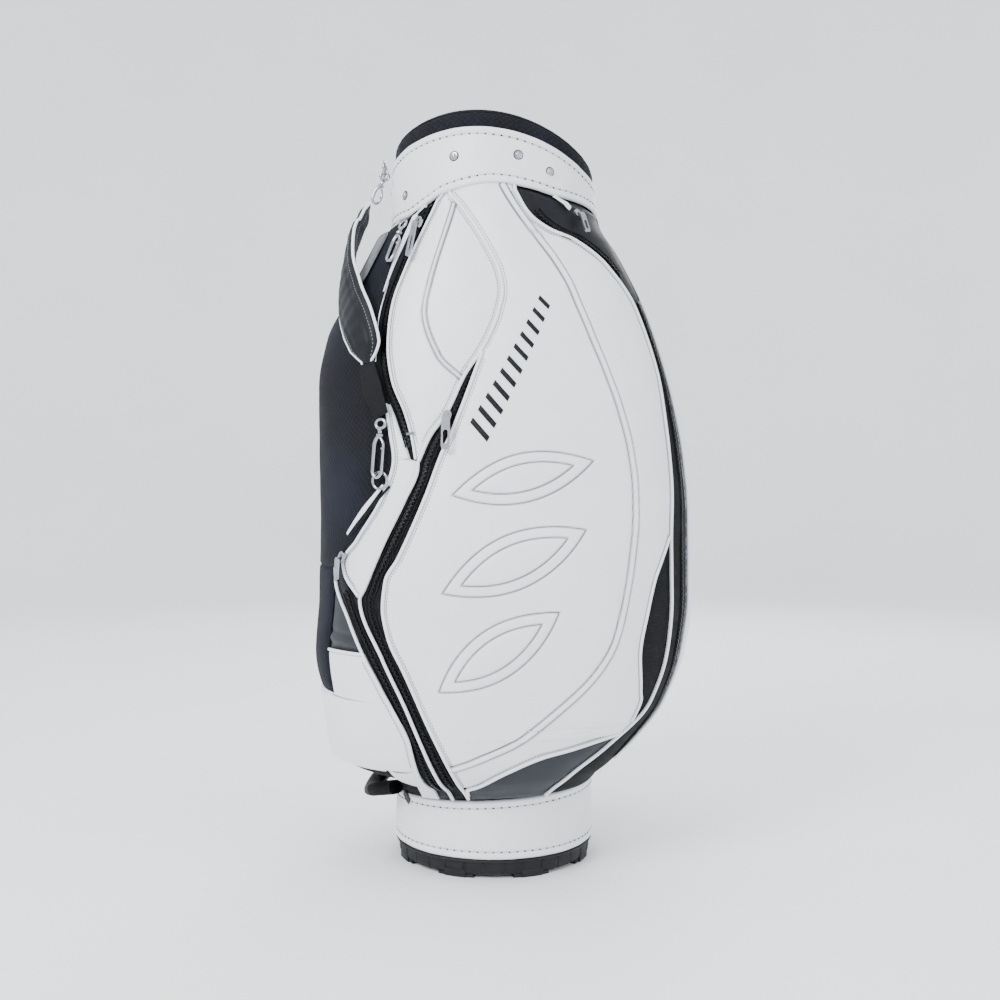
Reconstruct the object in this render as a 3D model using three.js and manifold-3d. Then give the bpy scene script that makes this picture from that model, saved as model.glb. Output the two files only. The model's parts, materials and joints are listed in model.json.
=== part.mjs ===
// A golf staff bag: a stiff barrel on a moulded base, a slanted club mouth with dividers,
// sewn pocket panels around it, a padded shoulder strap, and zips with sliders and pulls.
// Millimetres, +Z up. The origin is the centre of the base's underside. +X is the front
// (ball pocket) side, -X the spine side that carries the strap, and -Y the strap-hand side.
import * as THREE from "three";
import { mergeVertices } from "three/addons/utils/BufferGeometryUtils.js";
import Module from "manifold-3d";

const wasm = await Module();
wasm.setup();

// ---------------------------------------------------------------- driving dimensions
const GAP = 0.4;                       // clearance between pieces that touch
const ROUND_STEPS = 48;                // facets around the bag

const FOOT_HEIGHT = 3;
const FOOT_COUNT = 8;
const FOOT_LENGTH = 40;
const FOOT_DEPTH = 14;
const FOOT_INSET = 11;                 // from the base's edge to the foot's middle
const MIDDLE_FOOT_RADIUS = 20;
const BASE_RADIUS = 112;
const BASE_RUBBER_TOP = 21;
const BASE_FLOOR_TOP = 12;
const BASE_WALL_TOP = 76;
const BASE_WALL_OUTER = 111.4;
const BASE_WALL_INNER = 109.5;

const BAND_OUTER = 115.5;
const BAND_HEIGHT_MEAN = 86.5;         // top edge of the base band, on average
const BAND_RISE = 6;                   // the edge is this much higher at the front

const BARREL_OUTER = 109.1;
const BARREL_INNER = 106.5;
const BARREL_TOP = 745;

const MOUTH_RING_OUTER = 112.3;
const MOUTH_RING_INNER = 103.5;
const CUFF_OUTER = 121.7;              // at the cuff's bottom edge
const CUFF_LEAN = 2.5;                 // the cuff's top edge is this much narrower
const CUFF_THICKNESS = 2.5;
const RIM_OUTER = 115.8;
const RIM_INNER = 102.5;

const SKIN_THICKNESS = 3.5;
const SKIN_LEAST_INNER = MOUTH_RING_OUTER + GAP;
const SKIN_TUCK = 4;                   // how far the panels reach under the cuff
const SKIN_LEAST_SHEET = 1.5;          // a panel is at least this thick where it passes the mouth ring
const PANEL_LEAST_DEG = 0.6;           // and at least this wide at a pointed end
const SEAM_GAP_DEG = 0.22;             // half the gap between two neighbouring panels
const TUCK_RADIUS = 118.5;             // the panels' radius where they pass under the cuff
const SUPERELLIPSE = 2.3;              // squareness of the bag's plan

// Outline of the bag seen from its side and from its front: height, radius.
const FRONT_OUTLINE = [
  [84, 116], [100, 122], [118, 142], [142, 166], [186, 199], [243, 220], [310, 229], [400, 229],
  [470, 223], [527, 212], [584, 196], [641, 175], [698, 146], [735, 124], [775, 118],
];
const SPINE_OUTLINE = [
  [84, 116], [99, 119], [106, 150], [114, 176], [125, 188], [190, 198], [245, 205], [300, 201],
  [400, 199], [540, 202], [597, 193], [658, 160], [700, 136], [735, 121], [775, 118],
];
const SIDE_OUTLINE = [
  [84, 116], [96, 128], [115, 148], [145, 166], [190, 179], [260, 188], [340, 189], [430, 182],
  [520, 169], [610, 152], [690, 134], [745, 121], [775, 118],
];

// Seams of one side: height, angle in degrees from the side's middle, positive to the front.
const SEAM_FRONT = [
  [92, 26], [124, 34], [151, 44], [195, 57], [261, 59.5], [359, 59], [436, 61], [491, 62],
  [558, 64], [626, 62], [673, 52], [697, 38], [706, 27], [722, 18], [750, 11],
];
const SEAM_LEAF_FRONT = [
  [454, -24.4], [479, -21.3], [503, -16.2], [545, -10.2], [569, -4.9], [587, -1.5], [612, 2],
  [637, 3.8], [656, 2.6], [687, -3.2], [725, -13.8], [752, -24.5],
];
const SEAM_LEAF_ZIP = [
  [456, -25.5], [476, -27], [503, -30], [541, -36], [585, -39.5], [630, -40.5], [669, -38.5],
  [714, -33.5], [747, -28],
];
const SEAM_TAPE_BACK = [
  [456, -27.5], [476, -30], [503, -34], [541, -40], [585, -43], [630, -44], [669, -43],
  [714, -40], [747, -36],
];
const SEAM_PANEL_BACK = [
  [88, -12.5], [132, -16.6], [184, -22.4], [234, -28.1], [271, -33.3], [300, -35.1],
  [329, -34.1], [353, -29.8], [417, -21.6], [461, -17], [482, -14.2], [511, -10.8],
  [539, -7.6], [569, -4.1],
];
const SEAM_DIAMOND_FRONT = [
  [85, -21], [123, -22.6], [183, -27.4], [247, -35.3], [308, -44], [320, -42], [371, -34.6],
  [413, -28.5], [447, -24.6], [456, -24.6],
];
const SEAM_DIAMOND_BACK = [
  [311, -44.6], [335, -51.6], [347, -52.5], [370, -46], [419, -36], [454, -33], [485, -35],
  [515, -37.4],
];
const SEAM_PLEAT_BACK = [[86, -30], [149, -29], [217, -37], [247, -42], [285, -49], [327, -57], [340, -57.3]];
const SEAM_YOKE_BACK = [[197, -61], [250, -61], [327, -59]];
const SEAM_BOTTOM_EDGE = [[93, -12.2], [102, -12], [109, -6], [128, 6], [144, 18], [151, 29]];
const SEAM_INSET_BACK = [
  [175, 50.2], [197, 51.5], [209, 50], [254, 47], [297, 49], [328, 51.5], [346, 54], [375, 58.6],
];
const BALL_POCKET_EDGE = 73;
const BALL_POCKET_TOP = 640;
const BALL_POCKET_BOTTOM = 118;
const POCKET_TOP_EDGE = 250;
const POCKET_BOTTOM_EDGE = 124;
const POCKET_CORNER_ANGLE = -41.5;
const BACK_PAD_BOTTOM = 200;
const ROW_HEIGHTS = [
  100, 112, POCKET_BOTTOM_EDGE, 126, 135, 144, 151, 154, 175, 197, BACK_PAD_BOTTOM,
  POCKET_TOP_EDGE, 275, 300, 325, 340, 346, 375, 415, 460, 485, 515, 545, 575, 607, BALL_POCKET_TOP,
  660, 680, 700, 720,
];

// ---------------------------------------------------------------- small mathematics
const radians = THREE.MathUtils.degToRad;
const { clamp, lerp } = THREE.MathUtils;

// Straight-line value through [key, value] pairs.
function along(points, key) {
  const last = points.length - 1;
  if (key <= points[0][0]) return points[0][1];
  if (key >= points[last][0]) return points[last][1];
  const next = points.findIndex(([k]) => k > key);
  const [k0, v0] = points[next - 1];
  const [k1, v1] = points[next];
  return lerp(v0, v1, (key - k0) / (k1 - k0));
}

// The bag is the same on both sides, so angles fold onto the range -90 to 90.
const foldAngle = (theta) => THREE.MathUtils.radToDeg(Math.asin(Math.sin(radians(theta))));

// Edges that run around the bag, as heights at an angle.
const CUFF_BOTTOM = [
  [-90, 731], [-55, 731], [-38, 740], [-26, 750], [0, 758], [19, 753.5], [37, 748], [90, 747],
];
const cuffBottom = (theta) => along(CUFF_BOTTOM, foldAngle(theta));
const tilt = (theta, mean, saddle, slope) =>
  mean + saddle * Math.cos(radians(2 * theta)) - slope * Math.sin(radians(theta));
const cuffTop = (theta) => tilt(theta, 805.6, 13.1, 13.5);
const rimTop = (theta) => tilt(theta, 826.5, 12.1, 14);
const bandTop = (theta) => BAND_HEIGHT_MEAN + BAND_RISE * Math.sin(radians(theta));
const studLine = (theta) =>
  Math.max(757.5, 764 + 29.6 * Math.cos(radians(2 * (foldAngle(theta) + 4))));

// Radius of the bag's outside at an angle and a height.
function skinRadius(theta, z) {
  const s = Math.abs(Math.sin(radians(theta)));
  const c = Math.abs(Math.cos(radians(theta)));
  const reach = Math.sin(radians(theta)) >= 0 ? along(FRONT_OUTLINE, z) : along(SPINE_OUTLINE, z);
  const half = along(SIDE_OUTLINE, z);
  const plan = ((s / reach) ** SUPERELLIPSE + (c / half) ** SUPERELLIPSE) ** (-1 / SUPERELLIPSE);
  const tuck = TUCK_RADIUS + 1.1 * Math.max(0, cuffBottom(theta) - 1 - z);
  return Math.min(plan, tuck);
}

// side is 1 on the -Y side and -1 for its mirror image on the +Y side.
function polar(theta, radius, z, side = 1) {
  const a = radians(theta);
  return new THREE.Vector3(radius * Math.sin(a), -side * radius * Math.cos(a), z);
}
const onSkin = (theta, z, offset = 0, side = 1) => polar(theta, skinRadius(theta, z) + offset, z, side);

function skinNormal(theta, z, side = 1) {
  const across = onSkin(theta + 1, z, 0, side).sub(onSkin(theta - 1, z, 0, side));
  const up = onSkin(theta, z + 3, 0, side).sub(onSkin(theta, z - 3, 0, side));
  return across.cross(up).multiplyScalar(side).normalize();
}

// ---------------------------------------------------------------- mesh helpers
// A closed surface through equal rings of points. An open loft gets flat ladder caps,
// and a ring loft joins its last section to its first.
function loft(sections, isRing = false) {
  const count = sections[0].length;
  const index = [];
  const spans = isRing ? sections.length : sections.length - 1;
  for (let i = 0; i < spans; i += 1) {
    const a = i * count;
    const b = ((i + 1) % sections.length) * count;
    for (let j = 0; j < count; j += 1) {
      const k = (j + 1) % count;
      index.push(a + j, a + k, b + k, a + j, b + k, b + j);
    }
  }
  if (!isRing) {
    const end = (sections.length - 1) * count;
    for (let j = 0; j < count / 2 - 1; j += 1) {
      const m = count - 1 - j;
      index.push(j, m, m - 1, j, m - 1, j + 1);
      index.push(end + j, end + m - 1, end + m, end + j, end + j + 1, end + m - 1);
    }
  }
  const geometry = new THREE.BufferGeometry();
  const flat = sections.flat().flatMap((p) => [p.x, p.y, p.z]);
  geometry.setAttribute("position", new THREE.Float32BufferAttribute(flat, 3));
  geometry.setIndex(index);
  if (signedVolume(geometry) < 0) geometry.setIndex(index.slice().reverse());
  geometry.computeVertexNormals();
  return geometry;
}

function signedVolume(geometry) {
  const position = geometry.attributes.position;
  const corner = (i) => new THREE.Vector3().fromBufferAttribute(position, geometry.index.array[i]);
  let volume = 0;
  for (let i = 0; i < geometry.index.count; i += 3) {
    volume += corner(i).dot(corner(i + 1).cross(corner(i + 2))) / 6;
  }
  return volume;
}

function toSolid(geometry) {
  const bare = geometry.clone();
  bare.deleteAttribute("normal");
  bare.deleteAttribute("uv");
  const merged = mergeVertices(bare, 1e-4);
  return new wasm.Manifold(new wasm.Mesh({
    numProp: 3,
    vertProperties: Float32Array.from(merged.attributes.position.array),
    triVerts: Uint32Array.from(merged.index.array),
  }));
}

function fromSolid(solid) {
  const mesh = solid.getMesh();
  const geometry = new THREE.BufferGeometry();
  geometry.setAttribute("position", new THREE.Float32BufferAttribute(mesh.vertProperties, 3));
  geometry.setIndex(Array.from(mesh.triVerts));
  geometry.computeVertexNormals();
  return geometry;
}

const join = (geometries) => fromSolid(geometries.map(toSolid).reduce((a, b) => a.add(b)));
const cut = (body, tools) => fromSolid(tools.map(toSolid).reduce((a, b) => a.subtract(b), toSolid(body)));

// A turned solid about +Z from [radius, height] points.
function turned(profile, steps = ROUND_STEPS) {
  const points = profile.map(([r, z]) => new THREE.Vector2(r, z));
  const geometry = new THREE.LatheGeometry(points, steps);
  return geometry.rotateX(Math.PI / 2);
}

function boxAt(width, depth, height, x, y, z) {
  return new THREE.BoxGeometry(width, depth, height).translate(x, y, z);
}

// A ring around the bag whose section, a list of [radius, height], depends on the angle.
function bandAround(section) {
  const rings = [];
  for (let i = 0; i < ROUND_STEPS; i += 1) {
    const theta = (360 * i) / ROUND_STEPS;
    rings.push(section(theta).map(([r, z]) => polar(theta, r, z)));
  }
  return loft(rings, true);
}

// Axes of a small piece that lies on the skin: x across, y up the skin, z outward.
function skinFrame(origin, down, normal) {
  const y = down.clone().negate().normalize();
  const z = normal.clone().addScaledVector(y, -normal.dot(y)).normalize();
  const x = y.clone().cross(z);
  return new THREE.Matrix4().makeBasis(x, y, z).setPosition(origin);
}

function plate(shape, thickness, bevel = 0) {
  return new THREE.ExtrudeGeometry(shape, {
    depth: thickness, bevelEnabled: bevel > 0, bevelSize: bevel, bevelThickness: bevel,
    bevelSegments: 1, curveSegments: 4,
  });
}

function stadium(width, length, y0 = 0) {
  const r = width / 2;
  const shape = new THREE.Shape();
  shape.absarc(0, y0 - r, r, 0, Math.PI);
  shape.absarc(0, y0 - length + r, r, Math.PI, 2 * Math.PI);
  shape.closePath();
  return shape;
}

// ---------------------------------------------------------------- materials and nodes
function material(color, roughness, metalness = 0) {
  return new THREE.MeshStandardMaterial({ color, roughness, metalness });
}
const WHITE_LEATHER = material(0xeef1f4, 0.45);
const DARK_LEATHER = material(0x2b2e33, 0.42);
const BLACK_MESH = material(0x15181f, 0.85);
const NAVY_MESH = material(0x121826, 0.9);
const WEBBING = material(0x1a1c20, 0.8);
const BASE_RUBBER = material(0x23272d, 0.7);
const BARREL_PLASTIC = material(0x2a2c2f, 0.6);
const CHROME = material(0xc9ccd0, 0.18, 1);
const TAG_PLASTIC = material(0xa9adb0, 0.35);

const bag = new THREE.Group();
function add(name, geometry, look) {
  const mesh = new THREE.Mesh(geometry, look);
  mesh.name = name;
  bag.add(mesh);
  return mesh;
}

// ---------------------------------------------------------------- structure
function baseCup() {
  const shell = turned([
    [0, FOOT_HEIGHT], [BASE_RADIUS, FOOT_HEIGHT], [BASE_RADIUS, BASE_RUBBER_TOP],
    [BASE_WALL_OUTER, BASE_RUBBER_TOP], [BASE_WALL_OUTER, BASE_WALL_TOP],
    [BASE_WALL_INNER, BASE_WALL_TOP], [BASE_WALL_INNER, BASE_FLOOR_TOP], [0, BASE_FLOOR_TOP],
  ]);
  const overlap = 1;
  const height = FOOT_HEIGHT + overlap;
  const pieces = [shell];
  const middleFoot = new THREE.CylinderGeometry(MIDDLE_FOOT_RADIUS, MIDDLE_FOOT_RADIUS, height, 16);
  pieces.push(middleFoot.rotateX(Math.PI / 2).translate(0, 0, height / 2));
  for (let i = 0; i < FOOT_COUNT; i += 1) {
    const foot = boxAt(FOOT_LENGTH, FOOT_DEPTH, height, 0, -(BASE_RADIUS - FOOT_INSET), height / 2);
    pieces.push(foot.rotateZ((2 * Math.PI * (i + 0.5)) / FOOT_COUNT));
  }
  return join(pieces);
}

function clubDivider() {
  const thickness = 9;
  const low = 750;
  const high = 788;
  const reach = RIM_INNER - 1;
  const crossAt = 34;
  const crossReach = Math.sqrt(reach ** 2 - (crossAt + thickness / 2) ** 2) - 0.3;
  const middle = (low + high) / 2;
  const long = boxAt(2 * reach, thickness, high - low, 0, 0, middle);
  const crosses = [-crossAt, crossAt].map(
    (x) => boxAt(thickness, 2 * crossReach, high - low, x, 0, middle));
  return join([long, ...crosses]);
}

const STUD_ANGLES = [-56, -21, 13, 31];
const STUD_FACETS = 8;
const STUD_SHANK = 1.9;
const STUD_HEAD = 4.5;
const STUD_STRIP_INNER = 114.4;
const STUD_STRIP_OUTER = 116.3;
const STUD_STRIP_HALF = 5;
const STUD_DEPTH = 5.4;                // from the cuff's face into the strip behind it

function cuffOuterRadius(theta, z) {
  const share = (z - cuffBottom(theta)) / (cuffTop(theta) - cuffBottom(theta));
  return CUFF_OUTER - CUFF_LEAN * share;
}

function eachStud(make) {
  const result = [];
  for (const side of [1, -1]) {
    for (const theta of STUD_ANGLES) {
      const z = studLine(theta);
      const origin = polar(theta, cuffOuterRadius(theta, z), z, side);
      const outward = polar(theta, 1, 0, side);
      const turn = new THREE.Quaternion().setFromUnitVectors(new THREE.Vector3(0, 0, 1), outward);
      const place = new THREE.Matrix4().compose(origin, turn, new THREE.Vector3(1, 1, 1));
      result.push(make().applyMatrix4(place));
    }
  }
  return result;
}

function topCuff() {
  const sleeve = bandAround((theta) => {
    const low = cuffBottom(theta);
    const high = cuffTop(theta);
    return [
      [CUFF_OUTER - CUFF_THICKNESS, low], [CUFF_OUTER, low],
      [CUFF_OUTER - CUFF_LEAN, high], [CUFF_OUTER - CUFF_LEAN - CUFF_THICKNESS, high],
    ];
  });
  const hole = STUD_SHANK + GAP;
  return cut(sleeve, eachStud(() => new THREE.CylinderGeometry(hole, hole, 12, 8).rotateX(Math.PI / 2)));
}

// The cuff's dome studs stand on one thin strip behind the cuff.
function cuffStudBand() {
  const strip = bandAround((theta) => {
    const z = studLine(theta);
    const low = z - STUD_STRIP_HALF;
    const high = z + STUD_STRIP_HALF;
    return [
      [STUD_STRIP_INNER, low], [STUD_STRIP_OUTER, low],
      [STUD_STRIP_OUTER, high], [STUD_STRIP_INNER, high],
    ];
  });
  const stud = () => turned([
    [0, -STUD_DEPTH], [STUD_SHANK, -STUD_DEPTH], [STUD_SHANK, GAP], [STUD_HEAD, GAP], [STUD_HEAD - 0.2, 1.4],
    [STUD_HEAD - 1.8, 2.5], [0, 3],
  ], STUD_FACETS);
  return join([strip, ...eachStud(stud)]);
}

function mouthRing() {
  return bandAround((theta) => {
    const high = cuffTop(theta) - 7;
    return [
      [MOUTH_RING_INNER, BARREL_TOP + GAP], [MOUTH_RING_OUTER, BARREL_TOP + GAP],
      [MOUTH_RING_OUTER, high], [MOUTH_RING_INNER, high],
    ];
  });
}

function rimPad() {
  return bandAround((theta) => {
    const low = cuffTop(theta) - 6.6;
    const high = rimTop(theta);
    return [
      [RIM_INNER, low], [RIM_OUTER, low], [RIM_OUTER, high - 7], [RIM_OUTER - 2.5, high - 2],
      [(RIM_OUTER + RIM_INNER) / 2, high], [RIM_INNER + 2.5, high - 2], [RIM_INNER, high - 7],
    ];
  });
}

function addStructure() {
  add("base_cup", baseCup(), BASE_RUBBER);
  add("base_band", bandAround((theta) => [
    [BASE_WALL_OUTER + GAP, BASE_RUBBER_TOP + GAP], [BAND_OUTER, BASE_RUBBER_TOP + GAP],
    [BAND_OUTER, bandTop(theta)], [BASE_WALL_OUTER + GAP, bandTop(theta)],
  ]), WHITE_LEATHER);
  add("barrel", turned([
    [BARREL_INNER, BASE_FLOOR_TOP + GAP], [BARREL_OUTER, BASE_FLOOR_TOP + GAP],
    [BARREL_OUTER, BARREL_TOP], [BARREL_INNER, BARREL_TOP], [BARREL_INNER, BASE_FLOOR_TOP + GAP],
  ]), BARREL_PLASTIC);
  add("mouth_ring", mouthRing(), BARREL_PLASTIC);
  add("club_divider", clubDivider(), NAVY_MESH);
  add("rim_pad", rimPad(), NAVY_MESH);
  add("top_cuff", topCuff(), WHITE_LEATHER);
  add("cuff_stud_band", cuffStudBand(), CHROME);
}

// ---------------------------------------------------------------- sewn panels
// A panel is a shell on the bag's outside. back and front give its edges as an angle at a
// height, low and high its lower and upper edges as a height, or as a height at an angle.
function panel({ back, front, low, high, side = 1, steps = 4, depth = SKIN_THICKNESS, sunk = 0 }) {
  const lowEdge = typeof low === "number" ? () => low : low;
  const highEdge = typeof high === "number" ? () => high : high;
  const startZ = lowEdge((back(120) + front(120)) / 2);
  const endZ = highEdge((back(720) + front(720)) / 2);
  const inside = ROW_HEIGHTS.filter((z) => z > startZ + 3 && z < endZ - 3);
  const rows = [[startZ, lowEdge], ...inside.map((z) => [z, () => z]), [endZ, highEdge]];
  if (highEdge === underCuff) rows.splice(-1, 0, [endZ, (theta) => cuffBottom(theta) - 1]);
  const sections = rows.map(([nominal, rowHeight]) => {
    const from = back(nominal) + SEAM_GAP_DEG;
    const to = Math.max(front(nominal) - SEAM_GAP_DEG, from + PANEL_LEAST_DEG);
    const outer = [];
    const inner = [];
    for (let j = 0; j <= steps; j += 1) {
      const theta = lerp(from, to, j / steps);
      const z = rowHeight(theta);
      const radius = Math.max(skinRadius(theta, z) - sunk, SKIN_LEAST_INNER + SKIN_LEAST_SHEET);
      outer.push(polar(theta, radius, z, side));
      inner.push(polar(theta, Math.max(radius - depth, SKIN_LEAST_INNER), z, side));
    }
    return [...outer, ...inner.reverse()];
  });
  return loft(sections);
}

const seam = (points) => (z) => along(points, z);
const frontSeam = seam(SEAM_FRONT);
const leafFront = seam(SEAM_LEAF_FRONT);
const leafZip = seam(SEAM_LEAF_ZIP);
const tapeBack = seam(SEAM_TAPE_BACK);
const panelBack = seam(SEAM_PANEL_BACK);
const diamondFront = seam(SEAM_DIAMOND_FRONT);
const diamondBack = seam(SEAM_DIAMOND_BACK);
const pleatBack = seam(SEAM_PLEAT_BACK);
const yokeBack = seam(SEAM_YOKE_BACK);
const insetBack = seam(SEAM_INSET_BACK);
const bottomEdge = seam(SEAM_BOTTOM_EDGE);

const [insetLow] = SEAM_INSET_BACK[0];
const [insetHigh] = SEAM_INSET_BACK.at(-1);
const [bottomHigh] = SEAM_BOTTOM_EDGE.at(-1);
const [leafLow] = SEAM_LEAF_FRONT[0];
const [gussetTop] = SEAM_PANEL_BACK.at(-1);
const [diamondTop] = SEAM_DIAMOND_BACK.at(-1);
const [pleatTop] = SEAM_PLEAT_BACK.at(-1);
const [yokeTop] = SEAM_YOKE_BACK.at(-1);

function sidePanelBack(z) {
  return z > gussetTop ? leafFront(z) : panelBack(z);
}
function sidePanelFront(z) {
  if (z <= bottomHigh) return bottomEdge(z);
  if (z >= insetLow && z <= insetHigh) return insetBack(z);
  return frontSeam(z);
}
function gussetBack(z) {
  return z > leafLow ? leafFront(z) : diamondFront(z);
}
function diamondRight(z) {
  return z > leafLow + 2 ? tapeBack(z) : diamondFront(z);
}
function pleatFront(z) {
  return z > SEAM_DIAMOND_BACK[0][0] ? diamondBack(z) : diamondFront(z);
}
function padNear(z) {
  if (z > diamondTop) return tapeBack(z);
  if (z > pleatTop) return diamondBack(z);
  return lerp(yokeBack(z), pleatBack(pleatTop), clamp((z - yokeTop) / (pleatTop - yokeTop), 0, 1));
}
function pocketBack(z) {
  if (z <= POCKET_BOTTOM_EDGE) return POCKET_CORNER_ANGLE;
  if (z < BACK_PAD_BOTTOM) return -90;
  return yokeBack(z);
}
const underCuff = (theta) => cuffBottom(theta) + SKIN_TUCK;
const overBand = (theta) => bandTop(theta) + 1;
const ballPocketEdge = () => BALL_POCKET_EDGE;

function addSidePanels(side, tag) {
  const place = (name, look, options) => add(`${name}_${tag}`, panel({ side, ...options }), look);
  place("side_panel", WHITE_LEATHER,
    { back: sidePanelBack, front: sidePanelFront, low: 106, high: underCuff, steps: 6 });
  place("leaf_panel", WHITE_LEATHER, { back: leafZip, front: leafFront, low: 460, high: underCuff });
  place("leaf_zip_tape", BLACK_MESH,
    { back: tapeBack, front: leafZip, low: 460, high: underCuff, steps: 1, sunk: 2 });
  place("zip_gusset", BLACK_MESH,
    { back: gussetBack, front: panelBack, low: overBand, high: 560, steps: 2, sunk: 2 });
  place("diamond_panel", WHITE_LEATHER,
    { back: diamondBack, front: diamondRight, low: 318, high: diamondTop, steps: 3 });
  place("pleat_gusset", DARK_LEATHER,
    { back: pleatBack, front: pleatFront, low: overBand, high: pleatTop - 1, steps: 2, sunk: 1.5 });
  place("back_yoke", DARK_LEATHER,
    { back: yokeBack, front: pleatBack, low: POCKET_TOP_EDGE + 1, high: yokeTop - 5, steps: 2, sunk: 3 });
  place("lower_pocket", WHITE_LEATHER,
    { back: pocketBack, front: pleatBack, low: overBand, high: POCKET_TOP_EDGE, steps: 5 });
  place("bottom_panel", DARK_LEATHER,
    { back: bottomEdge, front: frontSeam, low: overBand, high: bottomHigh - 1, steps: 5, sunk: 1 });
  place("mesh_inset", BLACK_MESH,
    { back: insetBack, front: frontSeam, low: insetLow + 1, high: insetHigh - 1, steps: 1, sunk: 1.5 });
  place("shoulder_panel", BLACK_MESH,
    { back: frontSeam, front: ballPocketEdge, low: BALL_POCKET_TOP + 1, high: underCuff, sunk: 1.5 });
  place("front_gusset", BLACK_MESH,
    { back: frontSeam, front: ballPocketEdge, low: overBand, high: BALL_POCKET_TOP, steps: 2, sunk: 2 });
}

function addCentrePanels() {
  const farEdge = (edge) => (z) => -180 - edge(z);
  const acrossFront = () => 180 - BALL_POCKET_EDGE;
  const padHeights = { low: BACK_PAD_BOTTOM + 1, high: underCuff };
  add("back_pad", panel({ back: farEdge(padNear), front: padNear, ...padHeights, steps: 7 }), NAVY_MESH);
  add("ball_pocket", panel(
    { back: ballPocketEdge, front: acrossFront, low: BALL_POCKET_BOTTOM, high: BALL_POCKET_TOP, steps: 4 }),
  WHITE_LEATHER);
  const front = { back: ballPocketEdge, front: acrossFront, steps: 4 };
  const yokeHeights = { low: BALL_POCKET_TOP + 1, high: underCuff };
  const footHeights = { low: overBand, high: BALL_POCKET_BOTTOM - 1 };
  add("front_yoke", panel({ ...front, ...yokeHeights, sunk: 1.5 }), DARK_LEATHER);
  add("front_foot_panel", panel({ ...front, ...footHeights, sunk: 2 }), DARK_LEATHER);
  add("spine_foot_gusset", panel({
    back: () => -180 - POCKET_CORNER_ANGLE, front: () => POCKET_CORNER_ANGLE,
    low: overBand, high: POCKET_BOTTOM_EDGE - 1, steps: 8, sunk: 4,
  }), WEBBING);
}

// A stiff sheet between the barrel and the skin, which parts two pockets.
const PARTITION_ANGLE = 66;
const PARTITION_HEIGHTS = [130, 190, 260, 340, 430, 520, 610];
const PARTITION_CLEARANCE = 4;         // between its outer edge and the panel

function partition(theta, side) {
  const sections = PARTITION_HEIGHTS.map((z) => {
    const near = BARREL_OUTER + 1.5 * GAP;
    const far = skinRadius(theta, z) - SKIN_THICKNESS - PARTITION_CLEARANCE;
    return [[near, -0.5], [far, -0.3], [far, 0.3], [near, 0.5]].map(
      ([r, turn]) => polar(theta + turn, r, z, side));
  });
  return loft(sections);
}

// ---------------------------------------------------------------- strap and handles
const RING_RADIUS = 9;
const RING_WIRE = 1.6;
const LOW_HOOK_LIFT = 8;               // the lower hook's middle stands this far off the skin
const TOP_HOOK_WIDTH = 13;
const STRAP_TOP = polar(-88, 129.8, 806);
const STRAP_LOW_ANGLE = -37;           // the lower hook and ring lie beside the leaf's tip
const STRAP_LOW_Z = 434;
const STRAP_PATH = [   // angle, height and radius of the pad's middle line
  [-81, 757, 148], [-79, 740, 155], [-74, 706, 169], [-68, 671, 178], [-60, 636, 184],
  [-50, 603, 191], [-46, 580, 192], [-45, 560, 191],
];

const STRAP_WIDTH = 58;
const STRAP_THICKNESS = 13;
const STRAP_WEB_PATH = [[-44.9, 558.2], [-41.5, 528], [-37.2, 501.6]];   // angle, height
const STRAP_WEB_WIDTH = 26;
const STRAP_WEB_THICKNESS = 2.5;
const STRAP_WEB_LIFT = 6.5;

// A flat band with a rounded section, whose middle line passes through the given places.
function strapBand(path, width, thickness, steps) {
  const curve = new THREE.CatmullRomCurve3(path.map(([theta, z, r]) => polar(theta, r, z)));
  const sections = [];
  for (let i = 0; i <= steps; i += 1) {
    const share = i / steps;
    const centre = curve.getPointAt(share);
    const tangent = curve.getTangentAt(share);
    const theta = THREE.MathUtils.radToDeg(Math.atan2(centre.x, -centre.y));
    const outward = skinNormal(theta, centre.z).setZ(0).normalize();
    outward.addScaledVector(tangent, -outward.dot(tangent)).normalize();
    const across = outward.clone().cross(tangent);
    const endTaper = 0.55 + 0.45 * Math.sin(Math.PI * clamp(share, 0.06, 0.94));
    const half = (width / 2) * endTaper;
    const corner = ([u, v]) =>
      centre.clone().addScaledVector(across, u * half).addScaledVector(outward, v * thickness / 2);
    sections.push([[-1, -0.5], [-0.7, -1], [0.7, -1], [1, -0.5], [1, 0.5], [0.7, 1], [-0.7, 1], [-1, 0.5]]
      .map(corner));
  }
  return loft(sections);
}

// A spring hook seen face on: an eye at the top, a body and a hooked end, all in one plate.
function hookPlate(length, width, thickness) {
  const outline = stadium(width, length);
  const eye = new THREE.Path();
  eye.absarc(0, -width / 2, width / 2 - 2.6, 0, 2 * Math.PI, true);
  const mouth = stadium(width - 6, length * 0.42, -length * 0.5);
  outline.holes.push(eye, new THREE.Path(mouth.getPoints(4)));
  return plate(outline, thickness).translate(0, 0, -thickness / 2);
}

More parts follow.
